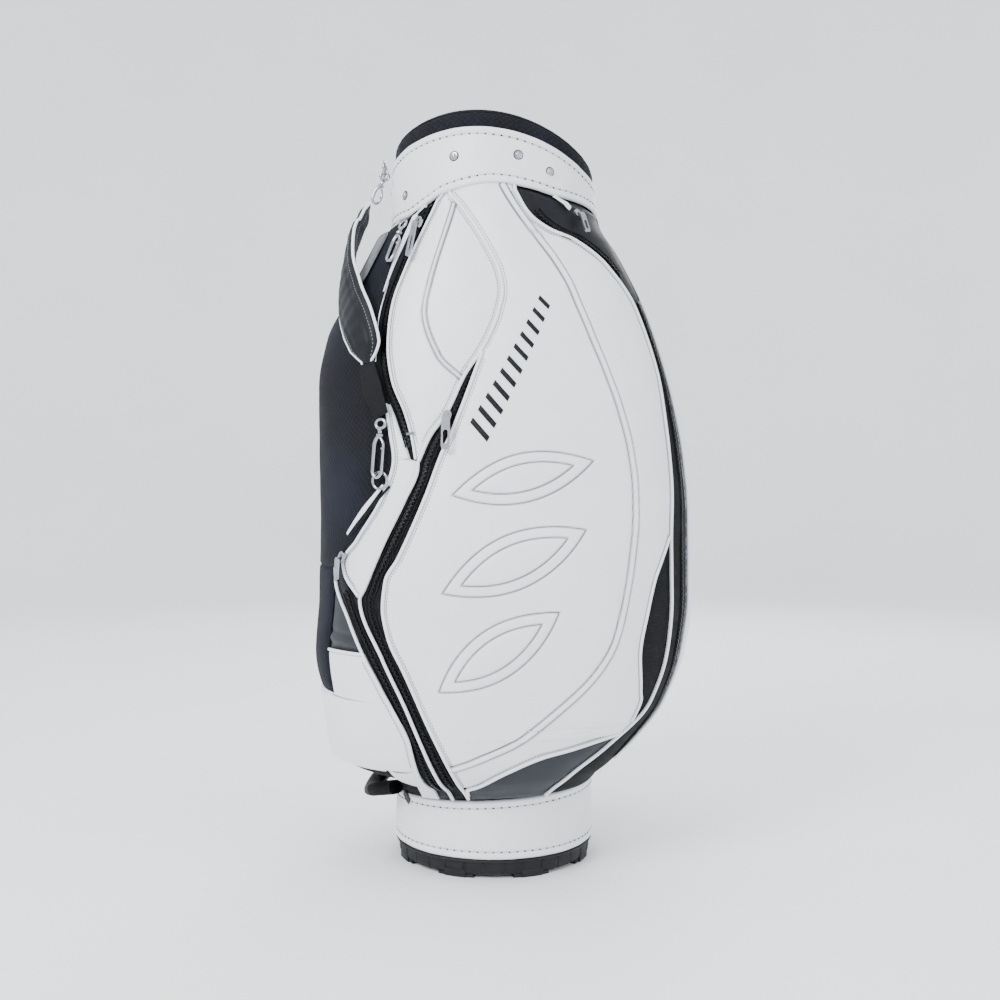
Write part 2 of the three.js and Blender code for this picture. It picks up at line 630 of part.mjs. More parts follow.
function addStrap() {
  const down = new THREE.Vector3(0, 0, -1);
  const ring = () => new THREE.TorusGeometry(RING_RADIUS, RING_WIRE, 6, 14);
  add("strap_pad", strapBand(STRAP_PATH, STRAP_WIDTH, STRAP_THICKNESS, 14), WEBBING);

  const topWire = new THREE.Vector3(0, 0, -RING_RADIUS).add(STRAP_TOP);
  const topDown = polar(-88, 0.36, -1).normalize();
  const topEye = topWire.addScaledVector(topDown, -TOP_HOOK_WIDTH / 2);
  const topFrame = skinFrame(topEye, topDown, polar(2, 1, 0));
  add("strap_hook_top", hookPlate(42, TOP_HOOK_WIDTH, 3.2).applyMatrix4(topFrame), CHROME);
  add("strap_ring_top", ring().applyMatrix4(skinFrame(STRAP_TOP, down, polar(-88, 1, 0))), CHROME);

  const webLow = STRAP_WEB_PATH.map(([theta, z]) => [theta, z, skinRadius(theta, z) + STRAP_WEB_LIFT]);
  add("strap_web_low", strapBand(webLow, STRAP_WEB_WIDTH, STRAP_WEB_THICKNESS, 3), WEBBING);
  const hookTop = onSkin(STRAP_LOW_ANGLE, 501, LOW_HOOK_LIFT);
  const hookAim = onSkin(STRAP_LOW_ANGLE, STRAP_LOW_Z, LOW_HOOK_LIFT).sub(hookTop);
  const normal = skinNormal(STRAP_LOW_ANGLE, STRAP_LOW_Z);
  add("strap_hook_low", hookPlate(66, 15, 3.6).applyMatrix4(skinFrame(hookTop, hookAim, normal)), CHROME);
  const lowFrame = skinFrame(onSkin(STRAP_LOW_ANGLE, STRAP_LOW_Z, RING_WIRE + 1), down, normal);
  add("strap_ring_low", ring().applyMatrix4(lowFrame), CHROME);
}

function handle(path, width, thickness) {
  const curve = new THREE.CatmullRomCurve3(path);
  const shape = new THREE.Shape();
  shape.absellipse(0, 0, thickness / 2, width / 2, 0, 2 * Math.PI);
  const sweep = { extrudePath: curve, steps: 14, curveSegments: 4, bevelEnabled: false };
  return new THREE.ExtrudeGeometry(shape, sweep);
}

const HANDLE_PATH = [[-114, 58, 87], [-130, 48, 83], [-140, 27, 76], [-143, 0, 72]];
const HANDLE_WIDTH = 18;
const HANDLE_THICKNESS = 9;

function addHandles() {
  const nearHalf = HANDLE_PATH.map(([x, y, z]) => new THREE.Vector3(x, -y, z));
  const farHalf = HANDLE_PATH.slice(0, -1).reverse().map(([x, y, z]) => new THREE.Vector3(x, y, z));
  add("base_handle", handle([...nearHalf, ...farHalf], HANDLE_WIDTH, HANDLE_THICKNESS), WEBBING);
}

// ---------------------------------------------------------------- zips and hanging pieces
const SLIDER_LENGTH = 13;
const SLIDER_WIDTH = 8.5;
const SLIDER_HEIGHT = 4.2;
const PULL_THICKNESS = 1.8;
const PULL_LIFT = 2;                   // a pull's back stands this far off its slider

function sliderBody() {
  const body = plate(stadium(SLIDER_WIDTH, SLIDER_LENGTH, SLIDER_LENGTH / 2), SLIDER_HEIGHT - 1, 0.4);
  const bridge = boxAt(2.2, 7, 1.6, 0, 0, SLIDER_HEIGHT);
  return join([body, bridge]);
}

function pullTab(length, width) {
  const shape = stadium(width, length);
  const slot = stadium(width - 4, length * 0.42, -length * 0.42);
  shape.holes.push(new THREE.Path(slot.getPoints(4)));
  return plate(shape, PULL_THICKNESS);
}

// name, side, seam place of the slider, place it slides towards, pull length and width
const ZIPS = [
  { name: "main_zip", theta: -15.5, z: 500, endTheta: -26, endZ: 380, pull: 36, width: 9 },
  { name: "leaf_zip", theta: -36.5, z: 716, endTheta: -42, endZ: 640, pull: 44, width: 7 },
  { name: "shoulder_zip", theta: 43, z: 727, endTheta: 57, endZ: 700, pull: 26, width: 8 },
  { name: "spine_zip", theta: -51.5, z: 352, endTheta: -45, endZ: 385, pull: 26, width: 7 },
];
const SLIDER_LIFT = 3.2;               // a slider's underside stands this far off the skin

function addZips() {
  for (const zip of ZIPS) {
    const start = onSkin(zip.theta, zip.z, SLIDER_LIFT);
    const end = onSkin(zip.endTheta, zip.endZ, SLIDER_LIFT);
    const run = end.clone().sub(start);
    const normal = skinNormal(zip.theta, zip.z);
    add(`${zip.name}_slider`, sliderBody().applyMatrix4(skinFrame(start, run, normal)), CHROME);
    const hang = start.clone().addScaledVector(normal, SLIDER_HEIGHT + PULL_LIFT);
    const hangDown = new THREE.Vector3(0, 0, -1).addScaledVector(normal, normal.z);
    const pullFrame = skinFrame(hang, hangDown, normal);
    add(`${zip.name}_pull`, pullTab(zip.pull, zip.width).applyMatrix4(pullFrame), CHROME);
  }
}

// Pieces that hang from the cuff's edge and lie against the skin below it.
const HANGING = [
  { name: "snap_hook", theta: -47.5, topZ: 726, lowZ: 664, lift: 6 },
  { name: "name_tag", theta: -65, topZ: 716, lowZ: 650, lift: 5 },
];

function addHanging() {
  const tag = stadium(30, 66);
  const hole = new THREE.Path();
  hole.absarc(0, -6, 3, 0, 2 * Math.PI, true);
  tag.holes.push(hole);
  const shapes = { snap_hook: hookPlate(58, 15, 4), name_tag: plate(tag, 1.6) };
  const looks = { snap_hook: CHROME, name_tag: TAG_PLASTIC };
  for (const { name, theta, topZ, lowZ, lift } of HANGING) {
    const top = onSkin(theta, topZ, lift);
    const down = onSkin(theta, lowZ, lift).sub(top);
    add(name, shapes[name].applyMatrix4(skinFrame(top, down, polar(theta, 1, 0))), looks[name]);
  }
}

addStructure();
addSidePanels(1, "left");
addSidePanels(-1, "right");
addCentrePanels();
add("pocket_partition_left", partition(PARTITION_ANGLE, 1), BARREL_PLASTIC);
add("pocket_partition_right", partition(PARTITION_ANGLE, -1), BARREL_PLASTIC);
addStrap();
addHandles();
addZips();
addHanging();

export default bag;
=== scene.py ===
import json
import math

import bmesh
import bpy
import numpy as np
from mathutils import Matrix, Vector


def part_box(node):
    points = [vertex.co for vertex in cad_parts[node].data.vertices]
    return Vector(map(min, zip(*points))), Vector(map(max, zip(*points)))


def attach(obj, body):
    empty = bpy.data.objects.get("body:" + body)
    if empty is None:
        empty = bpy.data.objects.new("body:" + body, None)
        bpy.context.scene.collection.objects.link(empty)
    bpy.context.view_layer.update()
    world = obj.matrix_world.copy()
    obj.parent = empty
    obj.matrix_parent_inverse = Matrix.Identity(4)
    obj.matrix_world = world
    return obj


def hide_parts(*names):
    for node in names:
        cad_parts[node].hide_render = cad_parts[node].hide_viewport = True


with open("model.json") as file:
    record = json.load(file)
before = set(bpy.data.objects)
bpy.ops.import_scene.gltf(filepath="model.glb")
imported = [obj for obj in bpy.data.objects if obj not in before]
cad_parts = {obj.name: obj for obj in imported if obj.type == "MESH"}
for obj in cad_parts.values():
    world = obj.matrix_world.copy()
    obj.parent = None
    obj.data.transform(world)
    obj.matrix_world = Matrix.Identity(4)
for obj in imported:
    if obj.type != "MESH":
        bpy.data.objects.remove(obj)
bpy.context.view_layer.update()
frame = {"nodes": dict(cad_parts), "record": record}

# A golf staff bag. Tables and sizes are in millimetres, in the CAD frame: +Z up, +X the ball
# pocket side, -X the spine with the strap, -Y the side with the strap hooks.
# An angle is 0 at -Y, 90 at +X and -90 at -X.
MM = 0.001

# ---------------------------------------------------------------- driving dimensions
FRONT_OUTLINE = [
    [84, 116], [100, 122], [118, 142], [142, 166], [186, 199], [243, 220], [310, 229], [400, 229],
    [470, 223], [527, 212], [584, 196], [641, 175], [698, 146], [735, 124], [775, 118],
]
SPINE_OUTLINE = [
    [84, 116], [99, 119], [106, 150], [114, 176], [125, 188], [190, 198], [245, 205], [300, 201],
    [400, 199], [540, 202], [597, 193], [658, 160], [700, 136], [735, 121], [775, 118],
]
SIDE_OUTLINE = [
    [84, 116], [96, 128], [115, 148], [145, 166], [190, 179], [260, 188], [340, 189], [430, 182],
    [520, 169], [610, 152], [690, 134], [745, 121], [775, 118],
]
CUFF_BOTTOM = [
    [-90, 731], [-55, 731], [-38, 740], [-26, 750], [0, 758], [19, 753.5], [37, 748], [90, 747],
]

# Seams of one side: height, then angle.
SEAM_FRONT = [
    [92, 26], [124, 34], [151, 44], [195, 57], [261, 59.5], [359, 59], [436, 61], [491, 62],
    [558, 64], [626, 62], [673, 52], [697, 38], [706, 27], [722, 18], [750, 11],
]
SEAM_LEAF_FRONT = [
    [454, -24.4], [479, -21.3], [503, -16.2], [545, -10.2], [569, -4.9], [587, -1.5], [612, 2],
    [637, 3.8], [656, 2.6], [687, -3.2], [725, -13.8], [752, -24.5],
]
SEAM_LEAF_ZIP = [
    [456, -25.5], [476, -27], [503, -30], [541, -36], [585, -39.5], [630, -40.5], [669, -38.5],
    [714, -33.5], [747, -28],
]
SEAM_TAPE_BACK = [
    [456, -27.5], [476, -30], [503, -34], [541, -40], [585, -43], [630, -44], [669, -43],
    [714, -40], [747, -36],
]
SEAM_PANEL_BACK = [
    [88, -12.5], [132, -16.6], [184, -22.4], [234, -28.1], [271, -33.3], [300, -35.1],
    [329, -34.1], [353, -29.8], [417, -21.6], [461, -17], [482, -14.2], [511, -10.8],
    [539, -7.6], [569, -4.1],
]
SEAM_DIAMOND_FRONT = [
    [85, -21], [123, -22.6], [183, -27.4], [247, -35.3], [308, -44], [320, -42], [371, -34.6],
    [413, -28.5], [447, -24.6], [456, -24.6],
]
SEAM_DIAMOND_BACK = [
    [311, -44.6], [335, -51.6], [347, -52.5], [370, -46], [419, -36], [454, -33], [485, -35],
    [515, -37.4],
]
SEAM_PLEAT_BACK = [[86, -30], [149, -29], [217, -37], [247, -42], [285, -49], [327, -57], [340, -57.3]]
SEAM_YOKE_BACK = [[197, -61], [250, -61], [327, -59]]
SEAM_BOTTOM_EDGE = [
    [93, -12.2], [102, -12], [109, -6], [128, 6], [144, 18], [151, 28], [158, 38], [163, 47.6],
]
SEAM_INSET_BACK = [
    [175, 50.2], [197, 51.5], [209, 50], [254, 47], [297, 49], [328, 51.5], [346, 54], [375, 58.6],
]
BALL_POCKET_EDGE = 73
BALL_POCKET_TOP = 640
BALL_POCKET_BOTTOM = 118
POCKET_TOP_EDGE = 250
POCKET_BOTTOM_EDGE = 124
POCKET_CORNER_ANGLE = -41.5
BACK_PAD_BOTTOM = 200

# Decoration lines of the side panel and the leaf panel: angle, then height.
SWEEP_LINE = [[5, 755], [32, 640], [45, 440], [38, 270], [10, 165], [-15, 130]]
LEAF_LINE = [[-20, 735], [-27, 620], [-20, 565], [-9, 535]]

SUPERELLIPSE = 2.3
TUCK_RADIUS = 118.5
BASE_RUBBER_TOP = 21
BASE_FLOOR_TOP = 12
BASE_WALL_TOP = 76
FOOT_COUNT = 8
FOOT_HEIGHT = 3
BAND_OUTER = 115.5
CUFF_OUTER = 121.7
CUFF_LEAN = 2.5
CUFF_THICKNESS = 2.5
RIM_OUTER = 115.8
RIM_INNER = 102.5
STUD_ANGLES = [-56, -21, 13, 31]
STUD_HEAD = 4.5


# ---------------------------------------------------------------- the bag's surface
CURVE_SAMPLES = 600


class Smooth:
    """A smooth curve through [key, value] pairs that doesn't swing past them."""

    def __init__(self, pairs):
        keys, values = np.array(pairs, float).T
        gaps = np.diff(keys)
        slopes = np.diff(values) / gaps
        ends = np.zeros(len(keys))
        before, after = slopes[:-1], slopes[1:]
        same_way = before * after > 0
        total = np.where(same_way, before + after, 1)
        ends[1:-1] = np.where(same_way, 2 * before * after / total, 0)
        ends[0], ends[-1] = slopes[0], slopes[-1]
        self.keys = np.linspace(keys[0], keys[-1], CURVE_SAMPLES)
        span = np.clip(np.searchsorted(keys, self.keys, side="right") - 1, 0, len(gaps) - 1)
        gap = gaps[span]
        t = (self.keys - keys[span]) / gap
        self.values = (
            (2 * t**3 - 3 * t**2 + 1) * values[span] + (t**3 - 2 * t**2 + t) * gap * ends[span]
            + (3 * t**2 - 2 * t**3) * values[span + 1] + (t**3 - t**2) * gap * ends[span + 1]
        )

    def __call__(self, key):
        return np.interp(key, self.keys, self.values)


front_outline = Smooth(FRONT_OUTLINE)
spine_outline = Smooth(SPINE_OUTLINE)
side_outline = Smooth(SIDE_OUTLINE)
cuff_bottom_curve = Smooth(CUFF_BOTTOM)


def fold_angle(theta):
    """Angles of the far side stand for the near side's, from -90 to 90."""
    return np.degrees(np.arcsin(np.sin(np.radians(theta))))


def cuff_bottom(theta):
    return cuff_bottom_curve(fold_angle(theta))


def tilted(theta, mean, saddle, slope):
    return mean + saddle * np.cos(np.radians(2 * theta)) - slope * np.sin(np.radians(theta))


def cuff_top(theta):
    return tilted(theta, 805.6, 13.1, 13.5)


def rim_top(theta):
    return tilted(theta, 826.5, 12.1, 14)


def band_top(theta):
    return 86.5 + 6 * np.sin(np.radians(theta))


def stud_line(theta):
    return np.maximum(757.5, 764 + 29.6 * np.cos(np.radians(2 * (fold_angle(theta) + 4))))


def skin_radius(theta, z):
    sine = np.sin(np.radians(theta))
    cosine = np.abs(np.cos(np.radians(theta)))
    reach = np.where(sine >= 0, front_outline(z), spine_outline(z))
    plan = (np.abs(sine) / reach) ** SUPERELLIPSE + (cosine / side_outline(z)) ** SUPERELLIPSE
    tuck = TUCK_RADIUS + 1.1 * np.maximum(0, cuff_bottom(theta) - 1 - z)
    return np.minimum(plan ** (-1 / SUPERELLIPSE), tuck)


def polar(theta, radius, z):
    angle = np.radians(theta)
    parts = np.broadcast_arrays(radius * np.sin(angle), -radius * np.cos(angle), z)
    return np.stack(parts, axis=-1).astype(float)


def unit(vectors):
    return vectors / np.maximum(np.linalg.norm(vectors, axis=-1, keepdims=True), 1e-9)


def skin_normal(theta, z):
    ahead = polar(theta + 0.5, skin_radius(theta + 0.5, z), z)
    across = ahead - polar(theta - 0.5, skin_radius(theta - 0.5, z), z)
    up = polar(theta, skin_radius(theta, z + 2), z + 2) - polar(theta, skin_radius(theta, z - 2), z - 2)
    return unit(np.cross(across, up))


def on_skin(theta, z, lift=0.0):
    """Points on the bag's outside, or raised from it by lift."""
    theta, z = np.asarray(theta, float), np.asarray(z, float)
    return polar(theta, skin_radius(theta, z), z) + skin_normal(theta, z) * np.asarray(lift)[..., None]


# ---------------------------------------------------------------- materials
class Look:
    """A procedural material. Its colour, roughness and height are built up from patterns."""

    def __init__(self, name, color, roughness, metallic=0.0, **constants):
        self.material = bpy.data.materials.new(name)
        self.material.use_nodes = True
        self.tree = self.material.node_tree
        self.shader = self.tree.nodes["Principled BSDF"]
        self.shader.inputs["Metallic"].default_value = metallic
        for socket, value in constants.items():
            self.shader.inputs[socket.replace("_", " ")].default_value = value
        self.where = self.node("ShaderNodeTexCoord")
        self.base_roughness = roughness
        self.shader.inputs["Roughness"].default_value = roughness
        self.paint = (*color, 1)       # a colour until a pattern is mixed in, then a socket
        self.shader.inputs["Base Color"].default_value = self.paint
        self.bumped = None

    def node(self, kind, **settings):
        made = self.tree.nodes.new(kind)
        for name, value in settings.items():
            setattr(made, name, value)
        return made

    def math(self, operation, *values):
        made = self.node("ShaderNodeMath", operation=operation)
        for socket, value in zip(made.inputs, values):
            if hasattr(value, "is_output"):
                self.tree.links.new(value, socket)
            else:
                socket.default_value = value
        return made.outputs[0]

    def mapped(self, space, stretch=(1, 1, 1), turn=0.0):
        """The coordinates that a pattern is laid out in, stretched and turned."""
        spread = self.node("ShaderNodeMapping")
        spread.inputs["Rotation"].default_value = (0, 0, turn)
        spread.inputs["Scale"].default_value = stretch
        self.tree.links.new(self.where.outputs[space], spread.inputs["Vector"])
        return spread.outputs[0]

    def pattern(self, kind, output, where, **values):
        made = self.node(kind)
        for socket, value in values.items():
            made.inputs[socket].default_value = value
        self.tree.links.new(where, made.inputs["Vector"])
        return made.outputs[output]

    def noise(self, scale, detail=3.0, stretch=(1, 1, 1)):
        where = self.mapped("Object", stretch)
        return self.pattern("ShaderNodeTexNoise", "Fac", where, Scale=scale, Detail=detail)

    def cells(self, scale, randomness=1.0, space="Object", turn=0.0, stretch=(1, 1, 1)):
        where = self.mapped(space, stretch, turn)
        return self.pattern("ShaderNodeTexVoronoi", "Distance", where, Scale=scale, Randomness=randomness)

    def waves(self, pitch, turn=0.0):
        """Rounded ribs with that pitch in metres, turned by an angle."""
        split = self.node("ShaderNodeSeparateXYZ")
        self.tree.links.new(self.mapped("UV", turn=turn), split.inputs[0])
        angle = self.math("MULTIPLY", split.outputs[0], 2 * math.pi / pitch)
        return self.math("MULTIPLY_ADD", self.math("SINE", angle), 0.5, 0.5)

    def tint(self, share, color, low=0.3, high=0.7):
        """Mixes a colour in where share goes from low to high."""
        spread = self.node("ShaderNodeMapRange")
        spread.inputs["From Min"].default_value = low
        spread.inputs["From Max"].default_value = high
        self.tree.links.new(share, spread.inputs["Value"])
        mix = self.node("ShaderNodeMix", data_type="RGBA")
        self.tree.links.new(spread.outputs[0], mix.inputs["Factor"])
        if hasattr(self.paint, "is_output"):
            self.tree.links.new(self.paint, mix.inputs[6])
        else:
            mix.inputs[6].default_value = self.paint
        mix.inputs[7].default_value = (*color, 1)
        self.paint = mix.outputs[2]
        self.tree.links.new(self.paint, self.shader.inputs["Base Color"])

    def vary_roughness(self, share, amount):
        shift = self.math("MULTIPLY_ADD", share, 2 * amount, self.base_roughness - amount)
        self.tree.links.new(shift, self.shader.inputs["Roughness"])

    def bump(self, height, depth, strength):
        """Raises the surface where height is 1 by depth millimetres over height 0."""
        made = self.node("ShaderNodeBump")
        made.inputs["Strength"].default_value = strength
        made.inputs["Distance"].default_value = depth * MM
        self.tree.links.new(height, made.inputs["Height"])
        if self.bumped is not None:
            self.tree.links.new(self.bumped, made.inputs["Normal"])
        self.bumped = made.outputs[0]
        self.tree.links.new(self.bumped, self.shader.inputs["Normal"])

    # Per-vertex painted shade: how far seams and grooves are darkened, as if in shadow.
    def groove_shade(self):
        made = self.node("ShaderNodeAttribute", attribute_name="groove_shade")
        return made.outputs["Fac"]


def leather_look(name, color, groove_shade_color, roughness, grain=0.14, specular=0.5):
    look = Look(name, color, roughness, Specular_IOR_Level=specular)
    look.tint(look.noise(7, 4), tuple(c * 0.94 for c in color), 0.35, 0.75)
    look.tint(look.noise(60, 3, (1, 1, 0.4)), tuple(c * 0.96 for c in color), 0.55, 0.8)
    # Painted shade: seams and grooves darkened towards a deep colour.
    look.tint(look.groove_shade(), groove_shade_color, 0.15, 1.0)
    look.vary_roughness(look.noise(30, 3), 0.08)
    look.bump(look.noise(22, 4, (1, 1, 0.5)), 0.5, 0.35)
    look.bump(look.cells(800), grain, 0.55)
    look.bump(look.noise(1500, 2), grain * 0.5, 0.3)
    return look


def mesh_look(name, color, hole, pitch):
    look = Look(name, color, 0.85, Specular_IOR_Level=0.25)
    opening = look.cells(1 / (pitch * MM), 0.0, "UV", math.radians(45), (1, 0.75, 1))
    look.tint(opening, hole, 0.62, 0.35)
    look.tint(look.noise(9, 3), tuple(c * 1.5 for c in color), 0.45, 0.9)
    # Painted shade: seams and grooves darkened to the hole colour.
    look.tint(look.groove_shade(), hole, 0.2, 1.0)
    look.vary_roughness(look.noise(200, 2), 0.06)
    look.bump(opening, 0.5, 0.8)
    return look


def weave_look(name, color, light, pitch, roughness=0.8):
    look = Look(name, color, roughness, Specular_IOR_Level=0.2)
    over = look.math("MULTIPLY", look.waves(pitch * MM), look.waves(pitch * MM, math.pi / 2))
    look.tint(over, light, 0.1, 0.9)
    look.tint(look.noise(14, 3), tuple(c * 0.7 for c in color), 0.5, 0.9)
    # Painted shade: seams and grooves darkened to 0.4 of the colour.
    look.tint(look.groove_shade(), tuple(c * 0.4 for c in color), 0.2, 1.0)
    look.vary_roughness(look.noise(150, 2), 0.06)
    look.bump(over, 0.4, 0.8)
    return look


def moulded_look(name, color, roughness, speckle=0.06):
    look = Look(name, color, roughness, Specular_IOR_Level=0.3)
    look.tint(look.noise(16, 4), tuple(c * 1.4 for c in color), 0.5, 0.85)
    look.vary_roughness(look.noise(90, 3), 0.08)
    look.bump(look.noise(900, 2), speckle, 0.6)
    look.bump(look.noise(45, 3), 0.15, 0.3)
    return look


def metal_look(name, color, roughness):
    look = Look(name, color, roughness, 1.0)
    look.tint(look.noise(120, 3), tuple(c * 0.75 for c in color), 0.5, 0.8)
    look.vary_roughness(look.noise(260, 3), 0.07)
    look.bump(look.noise(500, 2), 0.02, 0.3)
    return look


WHITE = (0.80, 0.83, 0.87)
# Each leather's second colour is the painted shade in its seams and grooves.
white_leather = leather_look("white_leather", WHITE, (0.13, 0.14, 0.17), 0.42)
dark_leather = leather_look(
    "dark_leather", (0.006, 0.0066, 0.009), (0.001, 0.001, 0.002), 0.52, 0.2, 0.18)
grey_leather = leather_look(
    "grey_leather", (0.022, 0.024, 0.030), (0.003, 0.003, 0.005), 0.48, 0.2, 0.25)
black_mesh = weave_look("black_mesh", (0.0015, 0.0017, 0.0025), (0.010, 0.011, 0.014), 2.4)
navy_mesh = mesh_look("navy_mesh", (0.0045, 0.006, 0.014), (0.0004, 0.0004, 0.001), 3.6)
rib_tape = weave_look("rib_tape", (0.002, 0.0022, 0.003), (0.009, 0.0095, 0.012), 1.1)
webbing = weave_look("webbing", (0.003, 0.0033, 0.0042), (0.012, 0.013, 0.015), 1.5)
strap_lining = weave_look("strap_lining", (0.028, 0.03, 0.035), (0.07, 0.073, 0.082), 1.4)
base_rubber = moulded_look("base_rubber", (0.006, 0.0066, 0.008), 0.6)
barrel_plastic = moulded_look("barrel_plastic", (0.008, 0.0085, 0.010), 0.5)
chrome = metal_look("chrome", (0.40, 0.41, 0.44), 0.16)
black_metal = metal_look("black_metal", (0.02, 0.02, 0.022), 0.35)
tag_plastic = moulded_look("tag_plastic", (0.16, 0.17, 0.19), 0.3, 0.02)
grey_thread = weave_look("grey_thread", (0.17, 0.185, 0.21), (0.30, 0.32, 0.35), 0.6, 0.7)
dark_thread = weave_look("dark_thread", (0.004, 0.005, 0.008), (0.016, 0.017, 0.022), 0.6, 0.6)

SLOT_LOOKS = {
    "white_leather": white_leather, "dark_leather": dark_leather, "black_mesh": black_mesh,
    "navy_mesh": navy_mesh, "webbing": webbing, "base_rubber": base_rubber,
    "barrel_plastic": barrel_plastic, "chrome": chrome, "tag_plastic": tag_plastic,
}


# ---------------------------------------------------------------- mesh building
MERGE_DISTANCE = 0.012
LEAST_EDGE = 0.005


def running_length(points, axis):
    """Mean running length along one way of a grid, in metres, closed by one step more."""
    closed = np.concatenate([points, np.take(points, [0], axis=axis)], axis=axis)
    steps = np.linalg.norm(np.diff(closed, axis=axis), axis=2).mean(axis=1 - axis)
    return np.concatenate([[0.0], np.cumsum(steps)]) * MM


class Piece:
    """Gathers grids of points, in millimetres, into one named mesh."""

    def __init__(self):
        self.points = []
        # painted shade of seams and grooves, one value per point
        self.groove_shades = []
        self.quads = []
        self.corners = []
        self.quad_looks = []
        self.caps = []
        self.count = 0

    def grid(self, points, wrap_rows=False, wrap_columns=False, groove_shade=None):
        """Adds a grid and returns the number of its first point."""
        rows, columns = points.shape[:2]
        i, j = np.meshgrid(
            np.arange(rows if wrap_rows else rows - 1),
            np.arange(columns if wrap_columns else columns - 1), indexing="ij")
        i, j = i.ravel(), j.ravel()
        corner_rows = np.stack([i, i, i + 1, i + 1], axis=1)
        corner_columns = np.stack([j, j + 1, j + 1, j], axis=1)
        quads = (corner_rows % rows) * columns + corner_columns % columns + self.count
        across = running_length(points, 1)
        along = running_length(points, 0)
        self.corners.append(np.stack([across[corner_columns], along[corner_rows]], axis=-1))
        self.points.append(points.reshape(-1, 3))
        self.groove_shades.append(np.zeros(rows * columns) if groove_shade is None else groove_shade.ravel())
        self.quads.append(quads)
        self.quad_looks.append(np.zeros(len(quads), int))
        first = self.count
        self.count += rows * columns
        return first

    def cap(self, first, sides):
        """Closes the ring of points that starts at a point's number."""
        self.caps.append(list(range(first, first + sides)))

    def shell(self, outer, inner, groove_shade=None):
        """A closed sheet between an outer and an inner grid."""
        self.grid(outer, groove_shade=groove_shade)
        self.grid(inner)
        for edge in (np.s_[0], np.s_[-1], np.s_[:, 0], np.s_[:, -1]):
            self.grid(np.stack([outer[edge], inner[edge]]))

    def sweep(self, path, normals, section, scale=None, closed=False):
        """A closed section, as [across, outward] pairs, carried along a path."""
        path, section = np.asarray(path, float), np.asarray(section, float)
        if closed:
            tangent = unit(np.roll(path, -1, axis=0) - np.roll(path, 1, axis=0))
        else:
            tangent = unit(np.gradient(path, axis=0))
        outward = np.broadcast_to(np.asarray(normals, float), path.shape)
        outward = unit(outward - tangent * np.sum(outward * tangent, axis=1, keepdims=True))
        across = np.cross(tangent, outward)
        size = np.ones(len(path)) if scale is None else np.asarray(scale)
        points = (
            path[:, None] + across[:, None] * (section[:, 0] * size[:, None])[..., None]
            + outward[:, None] * (section[:, 1] * size[:, None])[..., None]
        )
        first = self.grid(points, wrap_rows=closed, wrap_columns=True)
        if not closed:
            sides = len(section)
            self.cap(first, sides)
            self.cap(first + (len(path) - 1) * sides, sides)

    def tube(self, path, normals, radius, sides, closed=False, scale=None):
        self.sweep(path, normals, oval(radius, radius, sides), scale, closed)

    def along_skin(self, line, lift, section, scale=None):
        """A section carried over the skin, along a line of angles and heights."""
        self.sweep(on_skin(*line, lift), skin_normal(*line), section, scale)

    def turned(self, profile, origin, axis, steps):
        """A turned shape from [radius, height] pairs that starts and ends on its axis."""
        axis = unit(np.asarray(axis, float))
        side = unit(np.cross(axis, [0.31, 0.52, 0.79]))
        other = np.cross(axis, side)
        turn = full_turn(steps)
        ring = np.cos(turn)[:, None] * side + np.sin(turn)[:, None] * other
        rings = [np.asarray(origin) + ring * radius + axis * height for radius, height in profile]
        self.grid(np.stack(rings), wrap_columns=True)

    def mirrored(self):
        """The same piece on the far side of the bag."""
        twin = Piece()
        twin.__dict__.update(self.__dict__)
        twin.points = [p * [1, -1, 1] for p in self.points]
        return twin

    def finish(self, name, body, looks, slot, replaced=(), sharp=38):
        mesh = bpy.data.meshes.new(name)
        faces = np.concatenate(self.quads).tolist() + self.caps
        mesh.from_pydata((np.concatenate(self.points) * MM).tolist(), [], faces)
        cap_corners = np.zeros((sum(len(cap) for cap in self.caps), 2))
        corners = np.concatenate([np.concatenate(self.corners).reshape(-1, 2), cap_corners])
        mesh.uv_layers.new(name="surface").data.foreach_set("uv", corners.ravel())
        # The painted shade of seams and grooves goes into a per-vertex attribute that the materials darken
        # by.
        groove_shade = mesh.attributes.new("groove_shade", "FLOAT", "POINT")
        groove_shade.data.foreach_set("value", np.concatenate(self.groove_shades))
        kinds = np.concatenate([*self.quad_looks, np.zeros(len(self.caps), int)])
        mesh.polygons.foreach_set("material_index", kinds)
        for look in looks:
            mesh.materials.append(look.material)
        work = bmesh.new()
        work.from_mesh(mesh)
        bmesh.ops.remove_doubles(work, verts=work.verts, dist=MERGE_DISTANCE * MM)
        bmesh.ops.dissolve_degenerate(work, edges=work.edges, dist=LEAST_EDGE * MM)
        bmesh.ops.recalc_face_normals(work, faces=work.faces)
        work.to_mesh(mesh)
        work.free()
        mesh.shade_smooth()
        mesh.set_sharp_from_angle(angle=math.radians(sharp))
        piece = bpy.data.objects.new(name, mesh)
        bpy.context.scene.collection.objects.link(piece)
        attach(piece, body)
        if replaced:
            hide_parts(*replaced)
        return piece

    def finish_pair(self, name, look, slot, replaced=None):
        """This piece and its twin on the far side, with left and right in their names."""
        for side, piece in (("left", self), ("right", self.mirrored())):
            nodes = [f"{replaced}_{side}"] if replaced else ()
            piece.finish(f"{name}_{side}", "bag", [look], slot, nodes)


def full_turn(steps):
    return np.linspace(0, 2 * math.pi, steps, endpoint=False)


def signed_power(values, power):
    return np.sign(values) * np.abs(values) ** power


def oval(half_width, half_height, sides, power=2.0):
    turn = full_turn(sides)
    return np.stack([
        half_width * signed_power(np.cos(turn), 2 / power),
        half_height * signed_power(np.sin(turn), 2 / power)], axis=1)


def run_along(path):
    """Running length to each point of a line."""
    return np.concatenate([[0], np.cumsum(np.linalg.norm(np.diff(path, axis=0), axis=1))])


